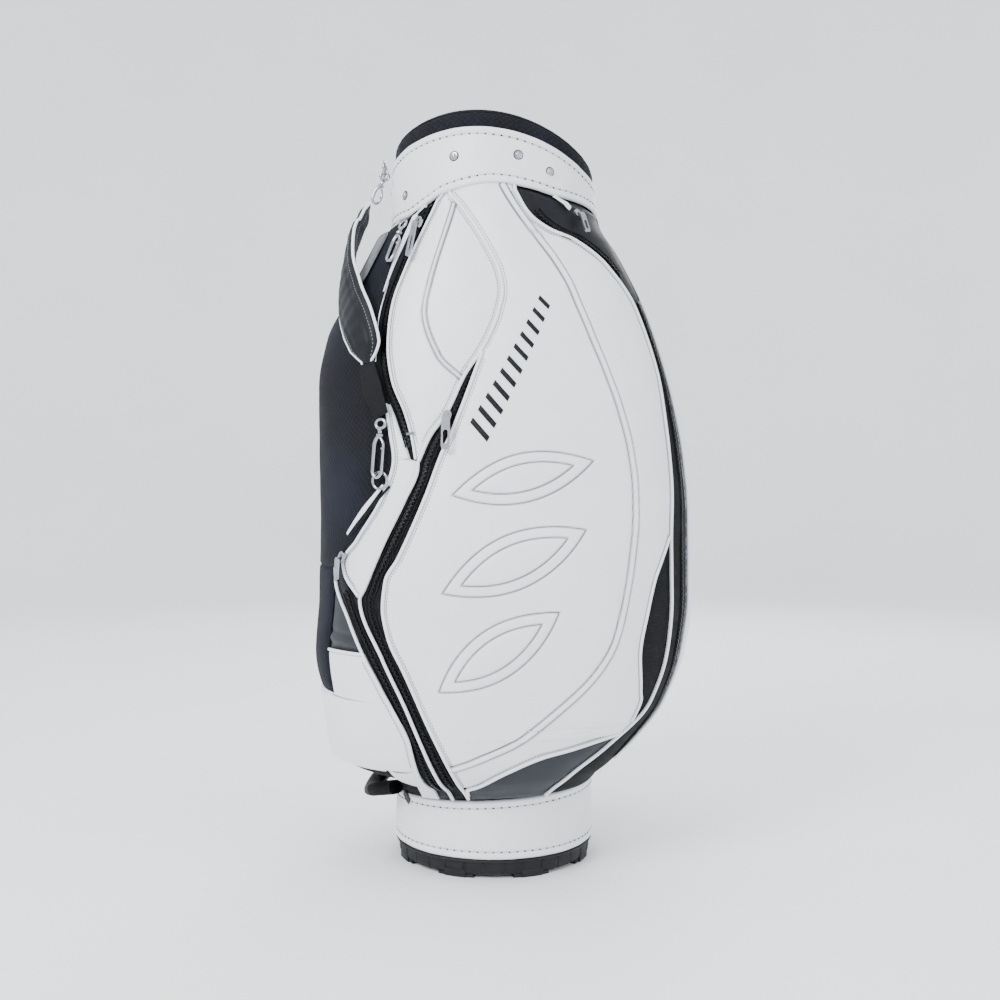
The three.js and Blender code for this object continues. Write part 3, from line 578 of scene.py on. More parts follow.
def even_places(run, step):
    """Running lengths at an even distance, close to step."""
    return np.linspace(0, run[-1], max(2, int(run[-1] / step) + 1))


def at_places(places, run, path):
    """The points of a line at given running lengths."""
    return np.stack([np.interp(places, run, path[:, k]) for k in range(path.shape[1])], axis=1)


def resample(path, step):
    """The same line with points at an even distance."""
    path = np.asarray(path, float)
    run = run_along(path)
    return at_places(even_places(run, step), run, path)


def tapered(line, sizes):
    """A size for each place of a line, from its start, middle and end size."""
    return np.interp(np.linspace(0, 1, line.shape[1]), [0, 0.5, 1], sizes)


def smooth_line(points, step):
    """A smooth line through points of any dimension."""
    points = np.asarray(points, float)
    run = run_along(points)
    fine = np.linspace(0, run[-1], 40 * len(points))
    curves = [Smooth(np.stack([run, points[:, k]], axis=1)) for k in range(points.shape[1])]
    return resample(np.stack([curve(fine) for curve in curves], axis=1), step)


# ---------------------------------------------------------------- seams as functions
front_seam = Smooth(SEAM_FRONT)
leaf_front = Smooth(SEAM_LEAF_FRONT)
leaf_zip = Smooth(SEAM_LEAF_ZIP)
tape_back = Smooth(SEAM_TAPE_BACK)
panel_back = Smooth(SEAM_PANEL_BACK)
diamond_front = Smooth(SEAM_DIAMOND_FRONT)
diamond_back = Smooth(SEAM_DIAMOND_BACK)
pleat_back = Smooth(SEAM_PLEAT_BACK)
yoke_back = Smooth(SEAM_YOKE_BACK)
inset_back = Smooth(SEAM_INSET_BACK)
bottom_edge = Smooth(SEAM_BOTTOM_EDGE)

BOTTOM_HIGH = SEAM_BOTTOM_EDGE[-1][0]
INSET_LOW = SEAM_INSET_BACK[0][0]
INSET_HIGH = SEAM_INSET_BACK[-1][0]
LEAF_LOW = SEAM_LEAF_FRONT[0][0]
GUSSET_TOP = SEAM_PANEL_BACK[-1][0]
DIAMOND_LOW = SEAM_DIAMOND_BACK[0][0]
DIAMOND_TOP = SEAM_DIAMOND_BACK[-1][0]
PLEAT_TOP = SEAM_PLEAT_BACK[-1][0]
YOKE_TOP = SEAM_YOKE_BACK[-1][0]


def side_back(z):
    return np.where(z > GUSSET_TOP, leaf_front(z), panel_back(z))


def side_front(z):
    inset = np.where((z >= INSET_LOW) & (z <= INSET_HIGH), inset_back(z), front_seam(z))
    return np.where(z <= BOTTOM_HIGH, bottom_edge(z), inset)


def gusset_back(z):
    return np.where(z > LEAF_LOW, leaf_front(z), diamond_front(z))


def diamond_right(z):
    return np.where(z > LEAF_LOW + 2, tape_back(z), diamond_front(z))


def pleat_front(z):
    return np.where(z > DIAMOND_LOW, diamond_back(z), diamond_front(z))


def pad_near(z):
    share = np.clip((z - YOKE_TOP) / (PLEAT_TOP - YOKE_TOP), 0, 1)
    low = yoke_back(z) * (1 - share) + pleat_back(PLEAT_TOP) * share
    return np.where(z > DIAMOND_TOP, tape_back(z), np.where(z > PLEAT_TOP, diamond_back(z), low))


def pad_far(z):
    return -180 - pad_near(z)


def pocket_back(z):
    low = np.where(z <= POCKET_BOTTOM_EDGE, POCKET_CORNER_ANGLE, -90)
    return np.where(z < BACK_PAD_BOTTOM, low, yoke_back(z))


def under_cuff(theta):
    return cuff_bottom(theta) + 4


def over_band(theta):
    return band_top(theta) + 0.5


def level(value):
    return lambda key: np.full_like(np.asarray(key, float), value)


# ---------------------------------------------------------------- sewn panels
HALF_WAY = 420.0                       # a height near the middle of the tall panels


def fill(back, front, low, high, step):
    """Angles and heights of a grid that fills the space between four edges."""
    middle = (back(HALF_WAY) + front(HALF_WAY)) / 2
    start, end = float(low(middle)), float(high(middle))
    heights = np.linspace(start, end, 40)
    width = np.max(skin_radius(middle, heights) * np.radians(front(heights) - back(heights)))
    columns = max(4, math.ceil(width / step))
    rows = max(4, math.ceil((end - start) / step))
    u, v = np.meshgrid(np.linspace(0, 1, columns + 1), np.linspace(0, 1, rows + 1))
    z = start + (end - start) * v
    for _ in range(4):
        width = np.maximum(front(z) - back(z), 0.4)
        theta = back(z) + width * u
        z = low(theta) + (high(theta) - low(theta)) * v
    return theta, z


CORNER_LEAN = 12                       # a seam function steeper than this turns a corner here


def edge_distance(theta, z, back, front, low, high):
    """Distance to the nearest of the four edges."""
    radius = skin_radius(theta, z)

    def from_seam(edge):
        lean = radius * np.radians(edge(z + 1) - edge(z - 1)) / 2
        lean = np.where(np.abs(lean) > CORNER_LEAN, 0, lean)
        return radius * np.radians(np.abs(theta - edge(z))) / np.sqrt(1 + lean**2)

    sides = np.minimum(from_seam(back), from_seam(front))
    return np.minimum(sides, np.minimum(np.abs(z - low(theta)), np.abs(high(theta) - z)))


PUFF_REACH = 16
EDGE_DIP = 1.6
EDGE_SOFTNESS = 3.0
WAVE_REACH = 20                        # the waves die out this close to a seam
SEAM_SHADE_STRENGTH = 0.8
SEAM_SHADE_SOFTNESS = 1.6
SHEET = 3.0


def creases_and_waves(theta, z):
    """Slow unevenness of sewn sheets, in millimetres."""
    a, b = np.radians(theta) * 170, z
    return (
        0.45 * np.sin(a / 31 + 1.3 * np.sin(b / 67)) * np.sin(b / 43 + 0.7)
        + 0.22 * np.sin(a / 13 + b / 19 + 2.1) + 0.12 * np.sin(b / 7.5 - a / 11)
    )


def panel_height(theta, z, edges, lift=0.0, puff=2.0, relief=None, wave=1.0):
    """How far a sewn panel stands off the skin, and how much painted shade darkens it along its seams and
    grooves.
    """
    distance = edge_distance(theta, z, *edges)
    inside = 1 - np.exp(-distance / PUFF_REACH)
    height = lift + puff * inside - EDGE_DIP * np.exp(-(distance / EDGE_SOFTNESS) ** 2)
    height = height + wave * creases_and_waves(theta, z) * np.clip(distance / WAVE_REACH, 0, 1)
    # Painted shade along the seams, strongest at the edge.
    groove_shade = SEAM_SHADE_STRENGTH * np.exp(-(distance / SEAM_SHADE_SOFTNESS) ** 2)
    if relief:
        extra, groove_shading = relief(theta, z)
        height = height + extra
        groove_shade = np.maximum(groove_shade, groove_shading)
    return height, groove_shade


def panel(edges, step, lift=0.0, **shape):
    """A sewn panel, pillowed a little between its seams."""
    theta, z = fill(*edges, step)
    height, groove_shade = panel_height(theta, z, edges, lift, **shape)
    outer = on_skin(theta, z, height)
    inner = on_skin(theta, z, np.minimum(height, lift) - SHEET)
    piece = Piece()
    piece.shell(outer, inner, groove_shade=groove_shade)
    return piece


LINE_STEP = 2.0
BATCH = 8000                           # points compared with a path at a time


def distance_to(points, path):
    """Distance from each point of a grid to the nearest point of a path."""
    flat = points.reshape(-1, 3)
    found = np.empty(len(flat))
    for start in range(0, len(flat), BATCH):
        part = flat[start:start + BATCH]
        apart = (part**2).sum(1)[:, None] + (path**2).sum(1) - 2 * part @ path.T
        found[start:start + BATCH] = np.sqrt(np.maximum(apart.min(axis=1), 0))
    return found.reshape(points.shape[:2])


def even_on_skin(theta, z, step):
    """The same angles and heights, at an even distance over the skin."""
    run = run_along(on_skin(theta, z))
    places = even_places(run, step)
    return np.interp(places, run, theta), np.interp(places, run, z)


def skin_line(pairs, step=0.8):
    """Angle and height along a decoration line, at an even step."""
    pairs = smooth_line(pairs, LINE_STEP)
    return even_on_skin(pairs[:, 0], pairs[:, 1], step)


GROOVE_SOFTNESS = 1.15
WELT_RISE = 1.6
WELT_DEPTH = 1.4


def welt(distance, half):
    """A raised band with a sewn groove on each side."""
    body = WELT_RISE * np.clip(1 - (distance / half) ** 4, 0, 1)
    groove = np.exp(-((distance - half) / GROOVE_SOFTNESS) ** 2)
    # The groove share is returned too, as painted shade for the grooves.
    return body - WELT_DEPTH * groove, groove


# Quilted cells of the side panel: angle and height of the middle, half length and half
# width, and the way their long axis points above the horizontal.
CELLS = [(9.5, 436, 74, 25, 14), (6.5, 350, 80, 28, 24), (1.5, 257, 74, 26, 34)]
CELL_BAND = 11
CELL_END_INSET = 1.9                   # how much more a cell shrinks at its ends than at its sides
CELL_POINTS = 160
CELL_RISE = 1.5
CELL_INNER_RISE = 1.6
CELL_EDGE_REACH = 4
CELL_GROOVE = 1.6


def cell_halves(cell, inset):
    return cell[2] - inset * CELL_END_INSET, cell[3] - inset


def cell_turn(cell):
    turn = math.radians(cell[4])
    return math.cos(turn), math.sin(turn)


def cell_outline(cell, inset):
    """Closed outline of a quilted cell, as offsets along and across the bag's side."""
    length, width = cell_halves(cell, inset)
    t = np.linspace(-1, 1, CELL_POINTS)
    bow = width * (1 - t**2)
    along = np.concatenate([length * t, length * t[::-1]])
    across = np.concatenate([bow, -bow])
    cosine, sine = cell_turn(cell)
    return np.stack([along * cosine - across * sine, along * sine + across * cosine], axis=1)


def cell_radius(cell):
    return float(skin_radius(cell[0], cell[1]))


def cell_relief(theta, z, cell):
    """Height of one quilted cell, and the painted shade in its grooves."""
    radius = cell_radius(cell)
    s = np.radians(theta - cell[0]) * radius
    local = np.stack([s, z - cell[1], np.zeros_like(z)], axis=-1)
    height = np.zeros_like(z)
    groove_shading = np.zeros_like(z)
    cosine, sine = cell_turn(cell)
    along = local[..., 0] * cosine + local[..., 1] * sine
    across = -local[..., 0] * sine + local[..., 1] * cosine
    for inset, rise in ((0, CELL_RISE), (CELL_BAND, CELL_INNER_RISE)):
        long_half, wide_half = cell_halves(cell, inset)
        outline = cell_outline(cell, inset)
        path = np.concatenate([resample(outline, 0.8), [outline[0]]])
        path = np.concatenate([path, np.zeros((len(path), 1))], axis=1)
        apart = distance_to(local, path)
        inside = np.abs(across) < wide_half * np.clip(1 - (along / long_half) ** 2, 0, 1)
        height += np.where(inside, rise * (1 - np.exp(-apart / CELL_EDGE_REACH)), 0)
        groove = np.exp(-(apart / GROOVE_SOFTNESS) ** 2)
        height -= CELL_GROOVE * groove
        # The grooves also get painted shade.
        groove_shading = np.maximum(groove_shading, groove)
    return height, groove_shading


SWEEP_HALF = 3.75
LEAF_SEAM_HALF = 2.5
EDGE_STITCH = 4.8


def side_relief(theta, z):
    points = on_skin(theta, z)
    # The welt's and the cells' grooves bring their painted shade with them.
    height, groove_shading = welt(distance_to(points, on_skin(*skin_line(SWEEP_LINE))), SWEEP_HALF)
    for cell in CELLS:
        extra, cell_shading = cell_relief(theta, z, cell)
        height = height + extra
        groove_shading = np.maximum(groove_shading, cell_shading)
    return height, groove_shading


def leaf_relief(theta, z):
    points = on_skin(theta, z)
    return welt(distance_to(points, on_skin(*skin_line(LEAF_LINE))), LEAF_SEAM_HALF)


SIDE_BOTTOM = 104
LEAF_BOTTOM = 456
GUSSET_END = 565
DIAMOND_BOTTOM = 312

SIDE_EDGES = (side_back, side_front, level(SIDE_BOTTOM), under_cuff)
LEAF_EDGES = (leaf_zip, leaf_front, level(LEAF_BOTTOM), under_cuff)
TAPE_EDGES = (tape_back, leaf_zip, level(LEAF_BOTTOM), under_cuff)
GUSSET_EDGES = (gusset_back, panel_back, over_band, level(GUSSET_END))
DIAMOND_EDGES = (diamond_back, diamond_right, level(DIAMOND_BOTTOM), level(DIAMOND_TOP))
PLEAT_EDGES = (pleat_back, pleat_front, over_band, level(PLEAT_TOP))
YOKE_EDGES = (yoke_back, pleat_back, level(POCKET_TOP_EDGE), level(YOKE_TOP - 2))
POCKET_EDGES = (pocket_back, pleat_back, over_band, level(POCKET_TOP_EDGE))
BOTTOM_EDGES = (bottom_edge, front_seam, over_band, level(BOTTOM_HIGH))
INSET_EDGES = (inset_back, front_seam, level(INSET_LOW), level(INSET_HIGH))
SHOULDER_EDGES = (front_seam, level(BALL_POCKET_EDGE), level(BALL_POCKET_TOP), under_cuff)
FRONT_GUSSET_EDGES = (front_seam, level(BALL_POCKET_EDGE), over_band, level(BALL_POCKET_TOP))


def yoke_relief(theta, z):
    fold = 1.6 * np.exp(-((z - 264) / 9) ** 2) * np.sin((z - 250) / 2.6 + theta / 6)
    # The hollows of the fold get painted shade.
    return fold, 0.4 * np.clip(-fold, 0, 1)


FINE_STEP = 1.35                       # for panels with sewn lines in them
SIDE_SHAPE = dict(puff=3.0, relief=side_relief, wave=1.7)
LEAF_SHAPE = dict(step=FINE_STEP, puff=3.0, relief=leaf_relief, wave=1.5)


def side_panel_height(theta, z):
    """How far the side panel stands off the skin, for rows of places or grids of them."""
    theta, z = np.atleast_2d(theta), np.atleast_2d(z)
    return panel_height(theta, z, SIDE_EDGES, **SIDE_SHAPE)[0]


SIDE_PANELS = [
    ("side_panel", SIDE_EDGES, dict(step=FINE_STEP, **SIDE_SHAPE), white_leather, "white_leather"),
    ("leaf_panel", LEAF_EDGES, LEAF_SHAPE, white_leather, "white_leather"),
    ("leaf_zip_tape", TAPE_EDGES, dict(step=2.0, lift=-2, puff=0.3, wave=0), rib_tape, "black_mesh"),
    ("zip_gusset", GUSSET_EDGES, dict(step=2.2, lift=-1.6, puff=0.6), black_mesh, "black_mesh"),
    ("diamond_panel", DIAMOND_EDGES, dict(step=2.2, puff=2.0), white_leather, "white_leather"),
    ("pleat_gusset", PLEAT_EDGES, dict(step=2.2, lift=-1.5, puff=1.5), dark_leather, "dark_leather"),
    ("back_yoke", YOKE_EDGES, dict(step=2.0, lift=-2, relief=yoke_relief), grey_leather, "dark_leather"),
    ("lower_pocket", POCKET_EDGES, dict(step=2.4, puff=3.0), white_leather, "white_leather"),
    ("bottom_panel", BOTTOM_EDGES, dict(step=2.2, lift=-0.8, puff=1.2), grey_leather, "dark_leather"),
    ("mesh_inset", INSET_EDGES, dict(step=2.0, lift=-1.4, puff=1.0), black_mesh, "black_mesh"),
    ("shoulder_panel", SHOULDER_EDGES, dict(step=2.4, lift=-1.2, puff=1.0), dark_leather, "black_mesh"),
    ("front_gusset", FRONT_GUSSET_EDGES, dict(step=2.6, lift=-1.8, puff=1.5), black_mesh, "black_mesh"),
]


def make_side_panels():
    for name, edges, options, look, slot in SIDE_PANELS:
        panel(edges, **options).finish_pair(f"{name}_cover", look, slot, name)


CHANNEL_HALF = 34
CHANNEL_START = 230
CHANNEL_PITCH = 96
SPINE_REACH = 200


def back_pad_relief(theta, z):
    """Two long quilted lines down the spine pad, with cross lines between them."""
    s = np.radians(theta + 90) * SPINE_REACH
    line = np.abs(np.abs(s) - CHANNEL_HALF)
    middle = np.exp(-(line / 3.0) ** 2)
    cross = np.abs((z - CHANNEL_START) % CHANNEL_PITCH - CHANNEL_PITCH / 2)
    bars = np.exp(-(cross / 2.6) ** 2) * (np.abs(s) < CHANNEL_HALF)
    groove = np.maximum(middle, bars)
    # The quilting grooves also get painted shade.
    return 1.2 - 2.6 * groove, 0.5 * groove


def make_centre_panels():
    across_front = level(180 - BALL_POCKET_EDGE)
    near_front = level(BALL_POCKET_EDGE)
    rows = [
        ("back_pad", (pad_far, pad_near, level(BACK_PAD_BOTTOM), under_cuff),
         dict(step=3.0, lift=-1, puff=3.2, relief=back_pad_relief), navy_mesh, "navy_mesh"),
        ("ball_pocket", (near_front, across_front, level(BALL_POCKET_BOTTOM), level(BALL_POCKET_TOP)),
         dict(step=3.0, puff=4.0), white_leather, "white_leather"),
        ("front_yoke", (near_front, across_front, level(BALL_POCKET_TOP), under_cuff),
         dict(step=2.6, lift=-1.2, puff=1.5), dark_leather, "dark_leather"),
        ("front_foot_panel", (near_front, across_front, over_band, level(BALL_POCKET_BOTTOM)),
         dict(step=2.4, lift=-1.5, puff=1.5), grey_leather, "dark_leather"),
        ("spine_foot_gusset", (level(-180 - POCKET_CORNER_ANGLE), level(POCKET_CORNER_ANGLE), over_band,
                               level(POCKET_BOTTOM_EDGE)),
         dict(step=2.6, lift=-3, puff=1.0), webbing, "webbing"),
    ]
    for name, edges, options, look, slot in rows:
        made = panel(edges, **options).finish(f"{name}_cover", "bag", [look], slot, [name])


# ---------------------------------------------------------------- piping and stitching
def seam_line(seam, low, high):
    """Angle and height along a seam from one height to another, at an even step."""
    heights = np.linspace(low, high, 300)
    return even_on_skin(seam(heights), heights, LINE_STEP)


ARC_PER_DEGREE = 3.2                   # about how far a degree goes around the bag


def arc_line(height, start, end):
    """Angle and height along a level edge that runs around the bag."""
    theta = np.linspace(start, end, max(3, int(abs(end - start) * ARC_PER_DEGREE / LINE_STEP)))
    return theta, np.full(theta.shape, float(height))


def shifted(line, distance):
    """A line beside another on the skin, to the front side if distance is positive."""
    theta, z = line
    path = on_skin(theta, z)
    normal = skin_normal(theta, z)
    tangent = unit(np.gradient(path, axis=0))
    moved = path + np.cross(normal, tangent) * -distance
    return np.degrees(np.arctan2(moved[:, 0], -moved[:, 1])), moved[:, 2]


def cuff_meeting(seam):
    """Height at which a seam passes under the cuff."""
    z = 740.0
    for _ in range(6):
        z = float(cuff_bottom(seam(z))) + 3
    return z


PIPING_RADIUS = 1.9
PIPING_SIDES = 10
# seam, from height, to height, radius
PIPED_SEAMS = [
    (front_seam, 93, cuff_meeting(front_seam), 2.0),
    (leaf_front, LEAF_LOW, cuff_meeting(leaf_front), 2.0),
    (leaf_zip, LEAF_BOTTOM, cuff_meeting(leaf_zip), 1.5),
    (panel_back, 90, GUSSET_TOP, 2.0),
    (diamond_front, 88, LEAF_LOW, 1.9),
    (diamond_back, DIAMOND_LOW, DIAMOND_TOP, 1.8),
    (pleat_back, 88, PLEAT_TOP, 1.9),
    (bottom_edge, 95, BOTTOM_HIGH, 2.1),
    (inset_back, INSET_LOW, INSET_HIGH, 1.7),
    (level(BALL_POCKET_EDGE), BALL_POCKET_BOTTOM, BALL_POCKET_TOP, 1.9),
]
# edges that run around: height, from angle, to angle, radius
PIPED_EDGES = [
    (POCKET_TOP_EDGE, -60, -42.6, 1.8),
    (BACK_PAD_BOTTOM, -90, -61, 1.8),
    (POCKET_BOTTOM_EDGE, -90, POCKET_CORNER_ANGLE, 1.8),
]
# seam, from height, to height, and 1 for stitches on its front side or -1 on its back side
STITCHED_SEAMS = [
    (front_seam, BOTTOM_HIGH + 2, cuff_meeting(front_seam) - 8, -1),
    (panel_back, 108, GUSSET_TOP - 4, 1),
    (leaf_front, 470, cuff_meeting(leaf_front) - 8, -1),
    (leaf_front, GUSSET_TOP + 4, cuff_meeting(leaf_front) - 8, 1),
    (leaf_zip, 470, cuff_meeting(leaf_zip) - 6, 1),
    (bottom_edge, 106, BOTTOM_HIGH, -1),
    (diamond_back, DIAMOND_LOW + 6, DIAMOND_TOP - 6, 1),
    (pleat_back, 128, POCKET_TOP_EDGE - 4, -1),
]
PIPING_LIFT = 0.5
STITCH_PITCH = 3.4
STITCH_LENGTH = 2.7
STITCH_RADIUS = 0.42
STITCH_LIFT = 1.1
RELIEF_STITCH_LIFT = 0.2               # over the height of the panel itself


def add_stitches(piece, line, lift):
    """A row of separate stitches along a line on the skin."""
    theta, z = line
    path = on_skin(theta, z, lift)
    run = run_along(path)
    places = np.arange(STITCH_PITCH, run[-1] - STITCH_PITCH / 2, STITCH_PITCH)
    centre = at_places(places, run, path)
    tangent = unit(at_places(places + 0.5, run, path) - centre)
    normal = skin_normal(np.interp(places, run, theta), np.interp(places, run, z))
    add_stitch_bodies(piece, centre, tangent, normal, STITCH_LENGTH, STITCH_RADIUS)


def add_stitch_bodies(piece, centre, tangent, normal, length, radius):
    section = oval(radius, radius * 0.8, 5)
    across = np.cross(tangent, normal)
    ring = across[:, None] * section[:, 0][:, None] + normal[:, None] * section[:, 1][:, None]
    for k in range(len(centre)):
        rows = [
            centre[k] + tangent[k] * along * length / 2 + ring[k] * size - normal[k] * sunk * radius
            for along, size, sunk in ((-1, 0.3, 1.0), (-0.55, 1, 0.1), (0.55, 1, 0.1), (1, 0.3, 1.0))
        ]
        piece.grid(np.stack(rows), wrap_columns=True)


def make_piping():
    piping = Piece()
    stitches = Piece()
    for seam, low, high, radius in PIPED_SEAMS:
        piping.along_skin(seam_line(seam, low, high), PIPING_LIFT, oval(radius, radius, PIPING_SIDES))
    for height, start, end, radius in PIPED_EDGES:
        piping.along_skin(arc_line(height, start, end), PIPING_LIFT, oval(radius, radius, PIPING_SIDES))
    for seam, low, high, side in STITCHED_SEAMS:
        add_stitches(stitches, shifted(seam_line(seam, low, high), side * EDGE_STITCH), STITCH_LIFT)
    for distance in (-SWEEP_HALF, SWEEP_HALF):
        line = shifted(skin_line(SWEEP_LINE, LINE_STEP), distance)
        add_stitches(stitches, line, side_panel_height(*line)[0] + RELIEF_STITCH_LIFT)
    for cell in CELLS:
        for inset in (0, CELL_BAND):
            outline = resample(cell_outline(cell, inset), 2.0)
            theta = cell[0] + np.degrees(outline[:, 0] / cell_radius(cell))
            line = (theta, cell[1] + outline[:, 1])
            add_stitches(stitches, line, side_panel_height(*line)[0] + RELIEF_STITCH_LIFT)
    piping.finish_pair("piping", white_leather, "white_leather")
    stitches.finish_pair("seam_stitches", grey_thread, "white_leather")
    ends = Piece()
    for height in (BALL_POCKET_TOP, BALL_POCKET_BOTTOM):
        line = arc_line(height, BALL_POCKET_EDGE, 180 - BALL_POCKET_EDGE)
        ends.along_skin(line, PIPING_LIFT, oval(PIPING_RADIUS, PIPING_RADIUS, PIPING_SIDES))
    ends.finish("ball_pocket_piping", "bag", [white_leather], "white_leather")


# A row of plain slanted bars on the side panel, from its first place to its last.
BAR_START = (-4.5, 486)
BAR_END = (20, 622)
BAR_COUNT = 11
BAR_LONGEST = 27
BAR_SHORTEST = 15
BAR_WIDTH = 6
BAR_SLANT = 22                         # degrees from square across the row
BAR_NARROWING = 0.2                    # share of its width that the last bar has lost
BAR_RISE = 1.1
BAR_EDGE_RISE = 0.5


def make_bars():
    bars = Piece()
    start, end = np.array(BAR_START, float), np.array(BAR_END, float)
    reach = float(skin_radius(*(start + end) / 2))
    run = np.array([np.radians(end[0] - start[0]) * reach, end[1] - start[1]])
    row_angle = math.atan2(run[1], run[0])
    bar_angle = row_angle + math.radians(90 - BAR_SLANT)
    u, v = np.meshgrid(np.linspace(-1, 1, 7), np.linspace(-1, 1, 13))
    edge = np.maximum(np.abs(u), np.abs(v)) > 0.99
    for k in range(BAR_COUNT):
        share = k / (BAR_COUNT - 1)
        middle = start * (1 - share) + end * share
        radius = float(skin_radius(*middle))
        half = (BAR_LONGEST * (1 - share) + BAR_SHORTEST * share) / 2
        wide = BAR_WIDTH / 2 * (1 - BAR_NARROWING * share)
        across = wide * u * math.cos(row_angle) + half * v * math.cos(bar_angle)
        up = wide * u * math.sin(row_angle) + half * v * math.sin(bar_angle)
        theta = middle[0] + np.degrees(across / radius)
        z = middle[1] + up
        height = side_panel_height(theta, z)
        face = on_skin(theta, z, height + np.where(edge, BAR_EDGE_RISE, BAR_RISE))
        bars.shell(face, on_skin(theta, z, height - 1))
    bars.finish_pair("side_bars", dark_leather, "dark_leather")


# ---------------------------------------------------------------- cuff, rim, band, base
AROUND = np.linspace(0, 360, 240, endpoint=False)
HEM = 8.5                              # distance of a band's stitches from its edge
HEM_PITCH = 8.8
HEM_STITCH = 2.6
HEM_STITCH_RADIUS = 0.8
HEM_GROOVE = 0.8
HEM_SOFTNESS = 1.3
BEAD_RISE = 0.9                        # the rolled edge between a band's hem and its rim
BEAD_PLACE = 3.6
BEAD_SOFTNESS = 2.8


def leather_band(low, high, outer, lean, thickness):
    """A leather band around the bag with rolled, stitched edges."""
    shares = np.concatenate([
        np.linspace(0, 0.04, 5), np.linspace(0.06, 0.24, 16), np.linspace(0.28, 0.72, 12),
        np.linspace(0.76, 0.94, 16), np.linspace(0.96, 1, 5)])
    bottom, top = low(AROUND), high(AROUND)
    height = top - bottom
    distance = np.minimum(shares[:, None], 1 - shares[:, None]) * height
    roll = thickness * (1 - np.sqrt(np.clip(1 - (1 - np.clip(distance / thickness, 0, 1)) ** 2, 0, 1)))
    groove = np.exp(-((distance - HEM) / HEM_SOFTNESS) ** 2)
    bead = BEAD_RISE * np.exp(-((distance - BEAD_PLACE) / BEAD_SOFTNESS) ** 2)
    z = bottom + shares[:, None] * height
    around = np.radians(AROUND)
    uneven = 0.25 * np.sin(around * 9 + z / 17) + 0.15 * np.sin(around * 23 - z / 9)
    radius = outer - lean * shares[:, None] - roll + bead - HEM_GROOVE * groove + uneven
    face = polar(AROUND, radius, z)
    back = polar(AROUND, outer - lean * shares[:, None] - thickness - 0.4, z)
    piece = Piece()
    # Painted shade in the hem grooves.
    piece.grid(face, wrap_columns=True, groove_shade=0.45 * groove)
    piece.grid(back, wrap_columns=True)
    for row in (0, -1):
        piece.grid(np.stack([face[row], back[row]]), wrap_columns=True)
    return piece


def hem_stitches(low, high, outer, lean):
    stitches = Piece()
    for edge, inward in ((low, HEM), (high, -HEM)):
        theta = np.linspace(0, 360, 721)
        z = edge(theta) + inward
        share = (z - low(theta)) / (high(theta) - low(theta))
        path = polar(theta, outer - lean * share - 0.35, z)
        run = run_along(path)
        places = np.linspace(0, run[-1], round(run[-1] / HEM_PITCH), endpoint=False)
        centre = at_places(places, run, path)
        tangent = unit(at_places(places + 1, run, path) - centre)
        normal = unit(centre * [1, 1, 0])
        add_stitch_bodies(stitches, centre, tangent, normal, HEM_STITCH, HEM_STITCH_RADIUS)
    return stitches


STUD_STEPS = 28
STUD_FOOT = [
    (0, -5), (1.8, -5), (1.8, 0), (STUD_HEAD, 0.1), (STUD_HEAD, 0.7), (3.9, 1.0), (3.3, 0.9),
]
STUD_DOME_RADIUS = 3.1
STUD_DOME_HEIGHT = 2.1
WASHER = [(0, -0.2), (5.4, -0.2), (5.6, 0.1), (5.2, 0.5), (4.2, 0.5), (0, 0.4)]


def make_cuff():
    cuff = leather_band(cuff_bottom, cuff_top, CUFF_OUTER, CUFF_LEAN, CUFF_THICKNESS)
    cuff.finish("top_cuff_cover", "bag", [white_leather], "white_leather", ["top_cuff"])
    hem_stitches(cuff_bottom, cuff_top, CUFF_OUTER, CUFF_LEAN).finish(
        "cuff_stitches", "bag", [dark_thread], "dark_leather")
    dome = []
    for step in range(7):
        turn = math.radians(90 * step / 6)
        dome.append((STUD_DOME_RADIUS * math.cos(turn), 1.0 + STUD_DOME_HEIGHT * math.sin(turn)))
    studs = Piece()
    washers = Piece()
    for theta in STUD_ANGLES + [180 - angle for angle in STUD_ANGLES]:
        z = float(stud_line(theta))
        share = (z - float(cuff_bottom(theta))) / float(cuff_top(theta) - cuff_bottom(theta))
        foot = polar(theta, CUFF_OUTER - CUFF_LEAN * share - 0.3, z)
        outward = polar(theta, 1.0, 0.0)
        studs.turned(STUD_FOOT + dome, foot, outward, STUD_STEPS)
        washers.turned(WASHER, foot, outward, STUD_STEPS)
    studs.finish("cuff_studs", "bag", [chrome], "chrome", ["cuff_stud_band"], sharp=50)
    washers.finish("cuff_stud_washers", "bag", [black_metal], "chrome")


RIM_ROUNDING = 0.75
RIM_SEAM_ANGLE = 38


def make_rim():
    """The padded rim of the mouth: a fat rounded ring over the cuff's top edge."""
    low = cuff_top(AROUND) - 6.6
    high = rim_top(AROUND)
    middle = (RIM_INNER + RIM_OUTER) / 2
    half = (RIM_OUTER - RIM_INNER) / 2
    turn = full_turn(40)
    wide = signed_power(np.cos(turn), RIM_ROUNDING)
    tall = signed_power(np.sin(turn), RIM_ROUNDING)
    seam = np.exp(-((turn - math.radians(RIM_SEAM_ANGLE)) / 0.07) ** 2)
    around = np.radians(AROUND)[:, None]
    pull = 0.25 * np.sin(around * 31) + 0.2 * np.sin(around * 53 + 1)
    radius = middle + (half + 0.8 + pull * 0.6) * wide - 1.2 * seam
    height = (high - low)[:, None] / 2
    z = (high + low)[:, None] / 2 + (height + 0.3) * tall - 0.6 * seam
    grid = polar(AROUND[:, None], radius, z)
    rim = Piece()
    # Painted shade in the rim's sunk seam.
    rim.grid(grid, wrap_rows=True, wrap_columns=True, groove_shade=np.broadcast_to(0.6 * seam, grid.shape[:2]))
    made = rim.finish("rim_pad_cover", "bag", [navy_mesh], "navy_mesh", ["rim_pad"])


